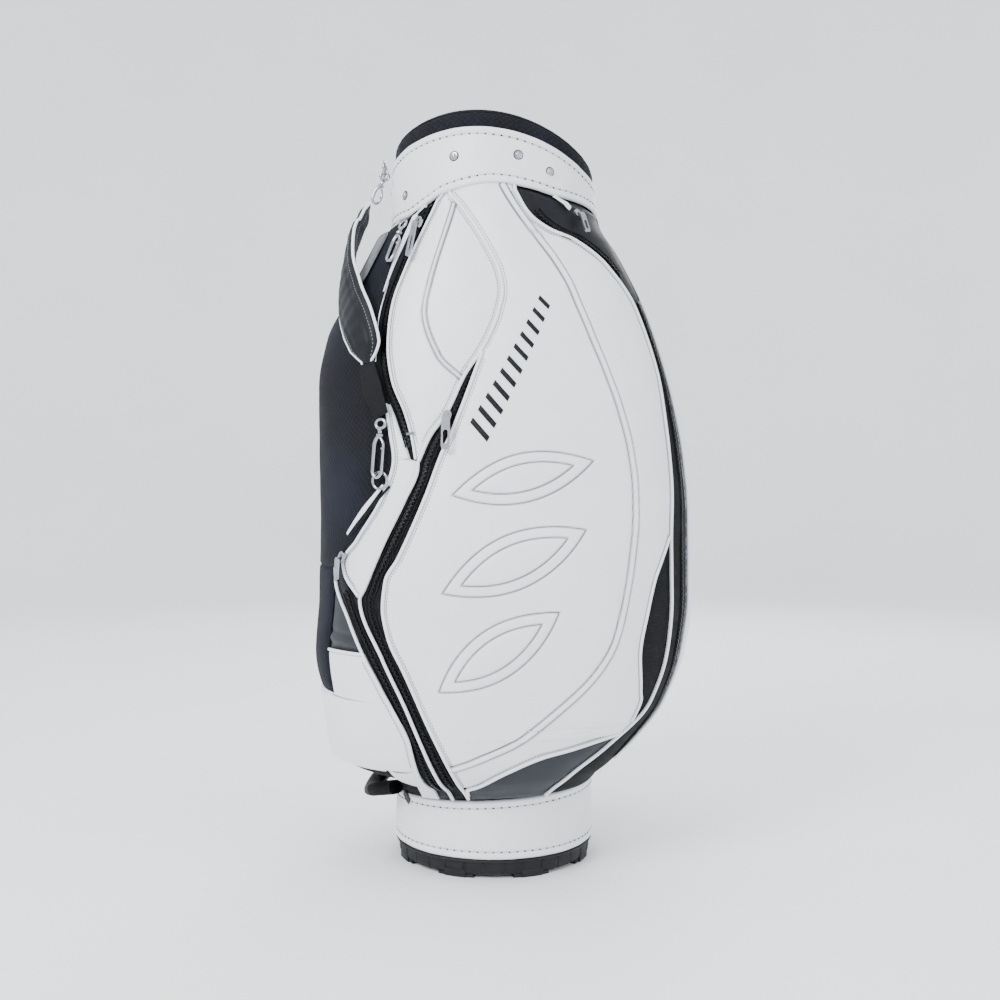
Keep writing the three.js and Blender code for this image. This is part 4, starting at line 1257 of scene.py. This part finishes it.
BASE_PROFILE = [
    (0, FOOT_HEIGHT), (60, FOOT_HEIGHT), (104, FOOT_HEIGHT), (109, 3.4), (111.4, 5), (112, 8),
    (112.2, 15), (112.2, 17.6), (114.6, 18.2), (115.2, 19.2), (114.6, 20.6), (112, BASE_RUBBER_TOP),
    (111.4, 24), (111.4, BASE_WALL_TOP), (109.5, BASE_WALL_TOP), (109.5, 40), (109.5, BASE_FLOOR_TOP),
    (60, BASE_FLOOR_TOP), (0, BASE_FLOOR_TOP),
]
NOTCH_COUNT = 32
NOTCH_DEPTH = 2.0
# each foot's pad and its heel on the wall: inner radius, outer radius, half its angle, top
FOOT_PARTS = [(88, 111, 11, 4), (93, 112.4, 6.5, 9)]
MIDDLE_FOOT = [(0, 0), (18.5, 0), (20, 1.2), (20, 4), (0, 4)]


def make_base():
    band_low = level(BASE_RUBBER_TOP + 0.4)
    band = leather_band(band_low, band_top, BAND_OUTER, 0, 3.0)
    band.finish("base_band_cover", "bag", [white_leather], "white_leather", ["base_band"])
    hem_stitches(band_low, band_top, BAND_OUTER, 0).finish(
        "band_stitches", "bag", [dark_thread], "dark_leather")
    radii, heights = np.array(BASE_PROFILE, float).T
    theta = np.linspace(0, 360, 480, endpoint=False)
    notch = np.clip(1 - np.abs((theta / 360 * NOTCH_COUNT) % 1 - 0.5) / 0.06, 0, 1)
    outer = (heights > 3.3) & (heights < 18) & (radii > 108)
    radius = radii[:, None] - NOTCH_DEPTH * notch * outer[:, None]
    base = Piece()
    base.grid(polar(theta, radius, heights[:, None]), wrap_columns=True)
    for k in range(FOOT_COUNT):
        middle = 360 * (k + 0.5) / FOOT_COUNT
        for near, far, spread, top in FOOT_PARTS:
            angles = np.linspace(middle - spread, middle + spread, 14)
            ring = [(near, 0.6), (near + 0.6, 0), (far - 1, 0), (far, 1), (far, top), (near, top)]
            grid = np.stack([polar(angles, r, z) for r, z in ring], axis=1)
            first = base.grid(grid, wrap_columns=True)
            for row in (0, len(angles) - 1):
                base.cap(first + row * len(ring), len(ring))
    base.turned(MIDDLE_FOOT, (0, 0, 0), (0, 0, 1), 48)
    base.finish("base_cup_cover", "bag", [base_rubber], "base_rubber", ["base_cup"], sharp=30)


DIVIDER_HEIGHT = 769.0
DIVIDER_HALF_WIDTH = 5.2
DIVIDER_HALF_HEIGHT = 20.5
DIVIDER_SPACING = 34


def make_divider():
    """Padded bars across the mouth, covered in the same cloth as the rim."""
    reach = RIM_INNER - 0.5
    bars = [((-reach, 0), (reach, 0))]
    for x in (-DIVIDER_SPACING, DIVIDER_SPACING):
        half = math.sqrt(reach**2 - x**2)
        bars.append(((x, -half), (x, half)))
    divider = Piece()
    section = oval(DIVIDER_HALF_HEIGHT, DIVIDER_HALF_WIDTH, 28, 4)
    for start, end in bars:
        path = resample([[*start, DIVIDER_HEIGHT], [*end, DIVIDER_HEIGHT]], 3)
        away = unit(np.cross([*end, 0.0], [0, 0, 1.0]))
        divider.sweep(path, away, section)
    made = divider.finish("divider_cover", "bag", [navy_mesh], "navy_mesh", ["club_divider"])


# ---------------------------------------------------------------- strap, handle and fittings
STRAP_PATH = [
    (-81, 757, 148), (-79, 740, 155), (-74, 706, 169), (-68, 671, 178), (-60, 636, 184),
    (-50, 603, 191), (-46, 580, 192), (-45, 560, 191),
]
STRAP_WIDTH = 58
STRAP_THICKNESS = 13
STRAP_STEP = 3.0
STRAP_QUILT_PITCH = 18
STRAP_STITCH_ROW = 0.55                # share of the half width
STRAP_PIPING_RADIUS = 1.7
STRAP_WEB_PATH = [[-44.9, 558.2], [-41.5, 528], [-37.2, 501.6]]
STRAP_WEB_LIFT = 6.5


def strap_frames(path):
    """Outward direction at each point of a line that runs beside the bag."""
    theta = np.degrees(np.arctan2(path[:, 0], -path[:, 1]))
    normal = skin_normal(theta, path[:, 2])
    normal[:, 2] = 0
    return unit(normal)


def strap_shape():
    """The pad's middle line, its outward and across directions, its half width and its end rounding."""
    places = np.array([polar(theta, radius, z) for theta, z, radius in STRAP_PATH])
    path = smooth_line(places, STRAP_STEP)
    share = np.linspace(0, 1, len(path))
    width = STRAP_WIDTH / 2 * (0.55 + 0.45 * np.sin(math.pi * np.clip(share, 0.06, 0.94)))
    end = np.clip(np.minimum(share, 1 - share) * 14, 0.15, 1) ** 0.6
    tangent = unit(np.gradient(path, axis=0))
    outward = strap_frames(path)
    outward = unit(outward - tangent * np.sum(outward * tangent, axis=1, keepdims=True))
    return path, outward, np.cross(tangent, outward), width, end


def make_strap_pad():
    path, outward, across, width, end = strap_shape()
    turn = full_turn(56)
    u = signed_power(np.cos(turn), 0.6)
    v = signed_power(np.sin(turn), 0.9)
    share = np.linspace(0, 1, len(path))
    quilt = 1 + 0.05 * np.cos(share * len(path) * STRAP_STEP / STRAP_QUILT_PITCH * 2 * math.pi)
    stitch_rows = np.exp(-((np.abs(u) - STRAP_STITCH_ROW) / 0.05) ** 2)
    thick = STRAP_THICKNESS / 2 * (1 - 0.22 * stitch_rows) * (1 - 0.25 * np.abs(u) ** 3)
    points = (
        path[:, None] + across[:, None] * (u * (width * end)[:, None])[..., None]
        + outward[:, None] * (v * thick * (end * quilt)[:, None])[..., None])
    strap = Piece()
    # Painted shade in the pinched stitch rows.
    groove_shade = np.broadcast_to(0.5 * stitch_rows, points.shape[:2])
    first = strap.grid(points, wrap_columns=True, groove_shade=groove_shade)
    inner_half = np.sin(turn[:-1] + 0.05) < -0.1
    strap.quad_looks[0] = np.tile(np.append(inner_half, False), len(path) - 1).astype(int)
    for row in (0, len(path) - 1):
        strap.cap(first + row * len(turn), len(turn))
    looks = [dark_leather, strap_lining]
    made = strap.finish("strap_pad_cover", "strap", looks, "webbing", ["strap_pad"])


def make_strap_trim():
    """The pad's piping, and its stitches on both faces."""
    path, outward, across, width, end = strap_shape()
    edge = Piece()
    stitches = Piece()
    for way in (-1, 1):
        rail = path + across * (way * (width * end + 0.4))[:, None]
        edge.tube(rail, outward, STRAP_PIPING_RADIUS, 8)
        for face in (-1, 1):
            rail = path + across * (way * 0.78 * width * end)[:, None]
            rail = rail + outward * (face * STRAP_THICKNESS / 2 * 0.72 * end)[:, None]
            keep = resample(rail, 4.2)[2:-2]
            direction = unit(np.gradient(keep, axis=0))
            add_stitch_bodies(stitches, keep, direction, face * strap_frames(keep), 3.0, 0.5)
    edge.finish("strap_piping", "strap", [white_leather], "white_leather")
    stitches.finish("strap_stitches", "strap", [grey_thread], "webbing")


# One half of the handle's middle line, which the other half mirrors.
HANDLE_HALF = [(-111, -62, 88), (-130, -48, 83), (-140, -27, 76), (-143, 0, 72)]
HANDLE_TAB_POINTS = 14


def make_handle():
    path = smooth_line(HANDLE_HALF + [(x, -y, z) for x, y, z in HANDLE_HALF[-2::-1]], 2.5)
    share = np.linspace(-1, 1, len(path))
    outward = np.cross(unit(np.gradient(path, axis=0)), [0, 0, 1.0])
    handle = Piece()
    section = oval(6.5, 10.5, 24, 2.6)
    ribs = 1 + 0.03 * np.cos(np.arange(len(path)) * 2.4) * (np.abs(share) < 0.6)
    handle.sweep(path, outward, section, ribs * (1 - 0.12 * (np.abs(share) > 0.66)))
    made = handle.finish("base_handle_cover", "bag", [dark_leather], "webbing", ["base_handle"])
    tabs = Piece()
    sleeve = oval(7.6, 11.8, 20, 3.2)
    for end in (path[:HANDLE_TAB_POINTS], path[-HANDLE_TAB_POINTS:]):
        direction = np.cross(unit(np.gradient(end, axis=0)), [0, 0, 1.0])
        tabs.sweep(end, direction, sleeve)
    tabs.finish("base_handle_tabs", "bag", [webbing], "webbing")


def local_frame(origin, down, normal):
    """Origin, across, up and outward of a small piece that lies on the skin."""
    up = unit(-np.asarray(down, float))
    outward = unit(normal - up * np.dot(normal, up))
    return np.asarray(origin, float), np.cross(up, outward), up, outward


def placed(place, points):
    """Local [across, up, outward] points of a small piece, in the bag's frame."""
    origin, across, up, outward = place
    points = np.asarray(points, float)
    return origin + points[:, :1] * across + points[:, 1:2] * up + points[:, 2:3] * outward


def ring_points(radius, count, middle=0.0, squash=1.0):
    turn = full_turn(count)
    return np.stack([radius * np.cos(turn), middle + radius * squash * np.sin(turn), 0 * turn], axis=1)


def stadium_points(width, top, bottom):
    """A closed loop with round ends, from its top height to its bottom height."""
    half = width / 2
    turn = np.linspace(0, math.pi, 20)
    upper = np.stack([half * np.cos(turn), top - half + half * np.sin(turn), 0 * turn], axis=1)
    lower = np.stack([-half * np.cos(turn), bottom + half - half * np.sin(turn), 0 * turn], axis=1)
    loop = np.concatenate([upper, lower])
    return resample(np.concatenate([loop, loop[:1]]), 1.0)[:-1]


def spring_hook(place, length, width, wire):
    """A swivel hook: an eye, a turning neck, and a hook closed by a sprung gate."""
    outward = place[3]
    hook = Piece()
    half = width / 2 - wire
    hook.tube(placed(place, ring_points(half, 36, -width / 2, 0.85)), outward, wire, 10, closed=True)
    neck_start = -width * 0.86
    neck = [
        (0, 0), (wire * 1.5, 0), (wire * 2.1, 1.2), (wire * 1.3, 2.4), (wire * 1.3, 4.6),
        (wire * 2.2, 5.8), (wire * 2.0, 8), (0, 8.4)]
    hook.turned(neck, placed(place, [[0, neck_start, 0]])[0], -place[2], 20)
    start = neck_start - 7
    low = -length + wire
    loop = [(0, start), (-half * 0.7, start - 4), (-half, start - 11), (-half, low + half * 1.2),
            (-half * 0.6, low + 1.6), (0, low), (half * 0.7, low + 2.2), (half, low + half * 1.3),
            (half, low + half * 2.2)]
    path = smooth_line([(x, y, 0) for x, y in loop], 1.0)
    fade = np.linspace(1.15, 0.8, len(path))
    hook.tube(placed(place, path), outward, wire * 1.15, 12, scale=fade)
    gate = smooth_line([(half, low + half * 1.9, 0), (half * 0.95, start - 10, 0), (1, start - 2, 0)], 1.0)
    hook.tube(placed(place, gate), outward, wire * 0.85, 10)
    knob = placed(place, [[half * 0.95, start - 14, 0]])[0]
    hook.turned([(0, 0), (wire, 0), (wire, 1.6), (wire * 0.6, 2.6), (0, 2.8)], knob, outward, 14)
    return hook


# each hook's width, length and wire radius
TOP_HOOK = (13, 42, 1.7)
LOW_HOOK = (15, 66, 1.8)
SNAP_HOOK = (15, 58, 1.9)
TAG_HALF_WIDTH = 15
TAG_LENGTH = 66
TAG_CORNER = 9
TOP_HOOK_ANGLE = -88
TOP_HOOK_RADIUS = 129.8
TOP_HOOK_Z = 806.0
LOW_HOOK_LIFT = 8
LOW_HOOK_TOP_Z = 501
STRAP_LOW_ANGLE = -37
STRAP_LOW_Z = 434
RING_RADIUS = 9
RING_WIRE = 1.6


def box_middle(node):
    low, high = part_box(node)
    return np.array((low + high) / 2) / MM


def centred(place, node, points):
    """Moves a place so that the given local points sit in the middle of a CAD node's box."""
    spots = placed(place, points)
    shift = box_middle(node) - (spots.min(axis=0) + spots.max(axis=0)) / 2
    return (place[0] + shift, *place[1:])


def add_hook(place, node, body, size):
    """Puts a spring hook in the middle of a CAD node's box."""
    width, length, wire = size
    place = centred(place, node, stadium_points(width, 0, -length))
    spring_hook(place, length, width, wire).finish(f"{node}_body", body, [chrome], "chrome", [node])


def make_fittings():
    eye = polar(TOP_HOOK_ANGLE, TOP_HOOK_RADIUS, TOP_HOOK_Z) + [0, 0, -RING_RADIUS]
    down = polar(TOP_HOOK_ANGLE, 0.36, -1.0)
    add_hook(local_frame(eye, down, polar(2, 1.0, 0.0)), "strap_hook_top", "strap", TOP_HOOK)
    low_top = on_skin(STRAP_LOW_ANGLE, LOW_HOOK_TOP_Z, LOW_HOOK_LIFT)
    low_aim = on_skin(STRAP_LOW_ANGLE, STRAP_LOW_Z, LOW_HOOK_LIFT) - low_top
    low_normal = skin_normal(np.array(STRAP_LOW_ANGLE), np.array(STRAP_LOW_Z))
    add_hook(local_frame(low_top, low_aim, low_normal), "strap_hook_low", "strap", LOW_HOOK)
    rings = (
        ("strap_ring_top", polar(TOP_HOOK_ANGLE, 1.0, 0.0)),
        ("strap_ring_low", low_normal),
    )
    for node, normal in rings:
        place = local_frame(box_middle(node), (0, 0, -1), normal)
        ring = Piece()
        ring.tube(placed(place, ring_points(RING_RADIUS, 48)), place[3], RING_WIRE, 12, closed=True)
        ring.finish(f"{node}_body", "bag", [chrome], "chrome", [node])
    line = smooth_line(STRAP_WEB_PATH, 1.0).T
    web = Piece()
    web.along_skin(line, STRAP_WEB_LIFT, oval(12.5, 1.25, 20, 6), tapered(line, (0.75, 1, 0.62)))
    web.finish("strap_web_low_cover", "strap", [webbing], "webbing", ["strap_web_low"])


# angle, top height, low height, lift
HOOK_HANG = (-47.5, 726, 664, 6)
TAG_HANG = (-65, 716, 650, 5)


def hanging_place(theta, top_z, low_z, lift):
    top = on_skin(theta, top_z, lift)
    down = on_skin(theta, low_z, lift) - top
    return local_frame(top, down, polar(theta, 1.0, 0.0))


def make_hanging():
    add_hook(hanging_place(*HOOK_HANG), "snap_hook", "snap_hook", SNAP_HOOK)
    outline = stadium_points(2 * TAG_HALF_WIDTH, 0, -TAG_LENGTH)
    place = centred(hanging_place(*TAG_HANG), "name_tag", outline)
    tag = Piece()
    u, v = np.meshgrid(np.linspace(-1, 1, 25), np.linspace(0, 1, 45))
    from_end = np.minimum(v, 1 - v) * TAG_LENGTH
    corner = np.clip(from_end / TAG_CORNER, 0, 1)
    half = TAG_HALF_WIDTH - 5 * (1 - np.sqrt(np.clip(1 - (1 - corner) ** 2, 0, 1)))
    rim = np.clip(np.minimum(TAG_HALF_WIDTH * (1 - np.abs(u)), from_end) / 2.5, 0, 1)
    flat = np.stack([u * half, -TAG_LENGTH * v, 0.8 + 0.5 * (rim < 1)], axis=-1)
    back = flat * [1, 1, -1]
    front_points = placed(place, flat.reshape(-1, 3)).reshape(flat.shape)
    back_points = placed(place, back.reshape(-1, 3)).reshape(flat.shape)
    tag.shell(front_points, back_points)
    tag.finish("name_tag_body", "name_tag", [tag_plastic], "tag_plastic", ["name_tag"])


# ---------------------------------------------------------------- small sewn pieces
STRIP_THICKNESS = 1.1


def flat_strip(pairs, half, lift, look, name, taper):
    """A flat strip that lies along a line of angles and heights."""
    line = smooth_line(pairs, 1.0).T
    strip = Piece()
    strip.along_skin(line, lift, oval(half, STRIP_THICKNESS / 2, 20, 6), tapered(line, taper))
    strip.finish(name, "bag", [look], "white_leather" if look is white_leather else "webbing")


# name, look, places as angle and height, half width, lift, taper
STRIPS = [
    ("tape_side_strip", white_leather, [(-39.5, 741), (-43.2, 708), (-45.6, 672), (-46.2, 640)],
     3.4, 1.6, (1.2, 1, 0.3)),
    ("hook_loop", webbing, [(-47.5, 738), (-47.5, 717)], 5.5, 2.0, (1, 1, 1)),
    ("tag_loop", white_leather, [(-65, 735), (-65, 707)], 5.0, 2.0, (1, 1, 0.7)),
    ("shoulder_zip_flap", white_leather, [(33, 747), (36.8, 740), (40.2, 734)], 4.2, 2.2, (0.8, 1, 0.7)),
    ("diamond_slot", black_mesh, [(-33.6, 428), (-39.5, 407), (-48.0, 376)], 2.5, 2.0, (0.5, 1, 0.6)),
    ("diamond_slot_flap", white_leather, [(-35.9, 429), (-41.8, 407), (-50.0, 377)],
     3.0, 2.2, (0.5, 1, 0.5)),
    ("leaf_zip_tack", grey_thread, [(-28.9, 482), (-26.4, 483)], 1.2, 2.6, (1, 1, 1)),
]

# Middle line of the loop that holds the strap's top ring, as radius and height.
RING_LOOP = [
    (120.2, 776), (121.0, 790), (124.0, 801), (127.0, 807.2), (130.0, 809.2), (132.8, 807.0),
    (132.2, 803.6), (129.4, 802.4), (126.4, 799), (124.0, 790), (122.4, 776),
]
HANDLE_TAG = [(-60.5, 81), (-57.5, 77), (-54.5, 73)]
EDGE_ROD = [(-45.2, 650), (-44.6, 607), (-42.8, 561)]   # angle and height


def make_small_pieces():
    for name, look, places, half, lift, taper in STRIPS:
        flat_strip(places, half, lift, look, name, taper)
    loop = Piece()
    line = smooth_line(RING_LOOP, 0.8)
    path = polar(TOP_HOOK_ANGLE, line[:, 0], line[:, 1])
    tangent = unit(np.gradient(path, axis=0))
    loop.sweep(path, np.cross(tangent, polar(TOP_HOOK_ANGLE + 90, 1.0, 0.0)), oval(6, 0.6, 20, 6))
    loop.finish("strap_ring_loop", "bag", [white_leather], "white_leather")
    rod = Piece()
    rod.along_skin(smooth_line(EDGE_ROD, LINE_STEP).T, 1.6, oval(1.1, 1.1, 10))
    rod.finish("leaf_edge_rod", "bag", [chrome], "chrome")
    tag = Piece()
    line = smooth_line(HANDLE_TAG, 1.0)
    path = polar(line[:, 0], BAND_OUTER + 1.4, line[:, 1])
    tag.sweep(path, unit(path * [1, 1, 0]), oval(4.2, 0.8, 20, 6))
    tag.finish("handle_tag", "bag", [grey_leather], "dark_leather")


# ---------------------------------------------------------------- zips
ZIP_HALF = 2.6
ZIP_PITCH = 2.4
ZIP_CORD_OFFSET = 5.2
ZIP_CORD_RADIUS = 0.8


def add_zip(piece, line, lift):
    """Interlocked teeth along a line on the skin."""
    path = resample(on_skin(*line, lift), ZIP_PITCH)
    angle = np.degrees(np.arctan2(path[:, 0], -path[:, 1]))
    normal = skin_normal(angle, path[:, 2])
    tangent = unit(np.gradient(path, axis=0))
    across = np.cross(tangent, normal)
    for k in range(len(path)):
        way = 1 if k % 2 else -1
        middle = path[k] + across[k] * way * ZIP_HALF * 0.3
        corners = []
        for along, size in ((-0.4, 0.75), (-0.2, 1), (0.2, 1), (0.4, 0.75)):
            ring = [middle + tangent[k] * along * ZIP_PITCH + across[k] * a * ZIP_HALF * 0.65 * size
                    + normal[k] * n * 0.9 * size for a, n in ((-1, -1), (1, -1), (1, 1), (-1, 1))]
            corners.append(ring)
        first = piece.grid(np.array(corners), wrap_columns=True)
        piece.cap(first, 4)
        piece.cap(first + 12, 4)


def between(back, front, share):
    """A seam that lies a share of the way from one seam to another."""
    return lambda z: back(z) * (1 - share) + front(z) * share


def beside_front_seam(z):
    return front_seam(z) + 5.0


# between which seams, from height, to height, share of the way across, lift
ZIPS = [
    (gusset_back, panel_back, 104, 552, 0.42, -0.4),
    (tape_back, leaf_zip, 470, 738, 0.5, -0.8),
    (pleat_back, pleat_front, 100, 316, 0.5, 0.4),
    (front_seam, level(BALL_POCKET_EDGE), 130, 636, 0.55, -0.2),
    (beside_front_seam, beside_front_seam, 664, 728, 0, 0.6),
]


def make_zips():
    teeth = Piece()
    tapes = Piece()
    for back, front, low, high, share, lift in ZIPS:
        line = seam_line(between(back, front, share), low, high)
        add_zip(teeth, line, lift)
        for way in (-ZIP_CORD_OFFSET, ZIP_CORD_OFFSET):
            section = oval(ZIP_CORD_RADIUS, ZIP_CORD_RADIUS, 6)
            tapes.along_skin(shifted(line, way), lift - 0.2, section)
    teeth.finish_pair("zip_teeth", black_metal, "black_mesh")
    tapes.finish_pair("zip_tape_cords", rib_tape, "black_mesh")


def dress_cad_nodes():
    """Gives every CAD node its own look, and small bevels to the metal ones that show."""
    slots = {row["node"]: row["material_slot"] for row in frame["record"]["subparts"]}
    for name, node in frame["nodes"].items():
        node.data.materials.clear()
        node.data.materials.append(SLOT_LOOKS[slots[name]].material)
        if name.endswith(("_slider", "_pull")):
            edge = node.modifiers.new("edge", "BEVEL")
            edge.width = 0.3 * MM
            edge.segments = 2
            edge.limit_method = "ANGLE"


# ---------------------------------------------------------------- studio
CAMERA_PLACE = (0.0071, -1.345, 0.4136)
CAMERA_LENS = 40.7
LIGHT_AIM = (0, 0, 0.42)
# name, place in metres, size in metres, power in watts
LIGHTS = [
    ("key", (-1.7, -2.2, 2.3), 1.5, 108),
    ("fill", (2.1, -1.9, 1.2), 1.8, 16),
    ("back", (0.6, 2.4, 2.0), 1.8, 40),
    ("top", (0, -0.2, 3.2), 2.4, 34),
]
WORLD_STRENGTH = 1.35
# A flat disc of floor that curves up into a wall, in metres.
FLOOR_RADIUS = 3.4
FLOOR_CURVE = 1.2
WALL_TOP = 5.0


def make_camera():
    camera = bpy.data.objects.new("camera", bpy.data.cameras.new("camera"))
    camera.data.lens = CAMERA_LENS
    camera.data.sensor_width = 36
    camera.location = CAMERA_PLACE
    camera.rotation_euler = (math.pi / 2, 0, 0)
    bpy.context.scene.collection.objects.link(camera)
    bpy.context.scene.camera = camera


def make_light(name, place, size, power):
    lamp = bpy.data.objects.new(name, bpy.data.lights.new(name, "AREA"))
    lamp.data.shape = "DISK"
    lamp.data.size = size
    lamp.data.energy = power
    lamp.location = place
    way = Vector(LIGHT_AIM) - Vector(place)
    lamp.rotation_euler = way.to_track_quat("-Z", "Y").to_euler()
    bpy.context.scene.collection.objects.link(lamp)


def make_floor():
    floor = Piece()
    profile = [(0, 0), (1, 0), (FLOOR_RADIUS, 0)]
    for step in range(1, 10):
        turn = math.radians(10 * step)
        across = FLOOR_RADIUS + FLOOR_CURVE * math.sin(turn)
        profile.append((across, FLOOR_CURVE * (1 - math.cos(turn))))
    profile.append((FLOOR_RADIUS + FLOOR_CURVE, WALL_TOP))
    theta = np.linspace(0, 360, 96, endpoint=False)
    rings = np.stack([polar(theta, r / MM, z / MM) for r, z in profile])
    floor.grid(rings, wrap_columns=True)
    look = Look("studio_floor", (0.93, 0.94, 0.95), 0.7)
    look.tint(look.noise(2, 2), (0.90, 0.91, 0.92), 0.4, 0.8)
    mesh = bpy.data.meshes.new("studio_floor")
    points = np.concatenate(floor.points) * MM
    mesh.from_pydata(points.tolist(), [], np.concatenate(floor.quads).tolist())
    mesh.materials.append(look.material)
    mesh.shade_smooth()
    stage = bpy.data.objects.new("studio_floor", mesh)
    bpy.context.scene.collection.objects.link(stage)


def make_lights():
    world = bpy.data.worlds.new("studio")
    world.use_nodes = True
    sky = world.node_tree.nodes["Background"]
    sky.inputs["Color"].default_value = (0.93, 0.96, 1.0, 1)
    sky.inputs["Strength"].default_value = WORLD_STRENGTH
    bpy.context.scene.world = world
    for row in LIGHTS:
        make_light(*row)


make_camera()
make_floor()
make_lights()
dress_cad_nodes()
make_side_panels()
make_centre_panels()
make_piping()
make_bars()
make_cuff()
make_rim()
make_base()
make_divider()
make_strap_pad()
make_strap_trim()
make_handle()
make_fittings()
make_hanging()
make_small_pieces()
make_zips()
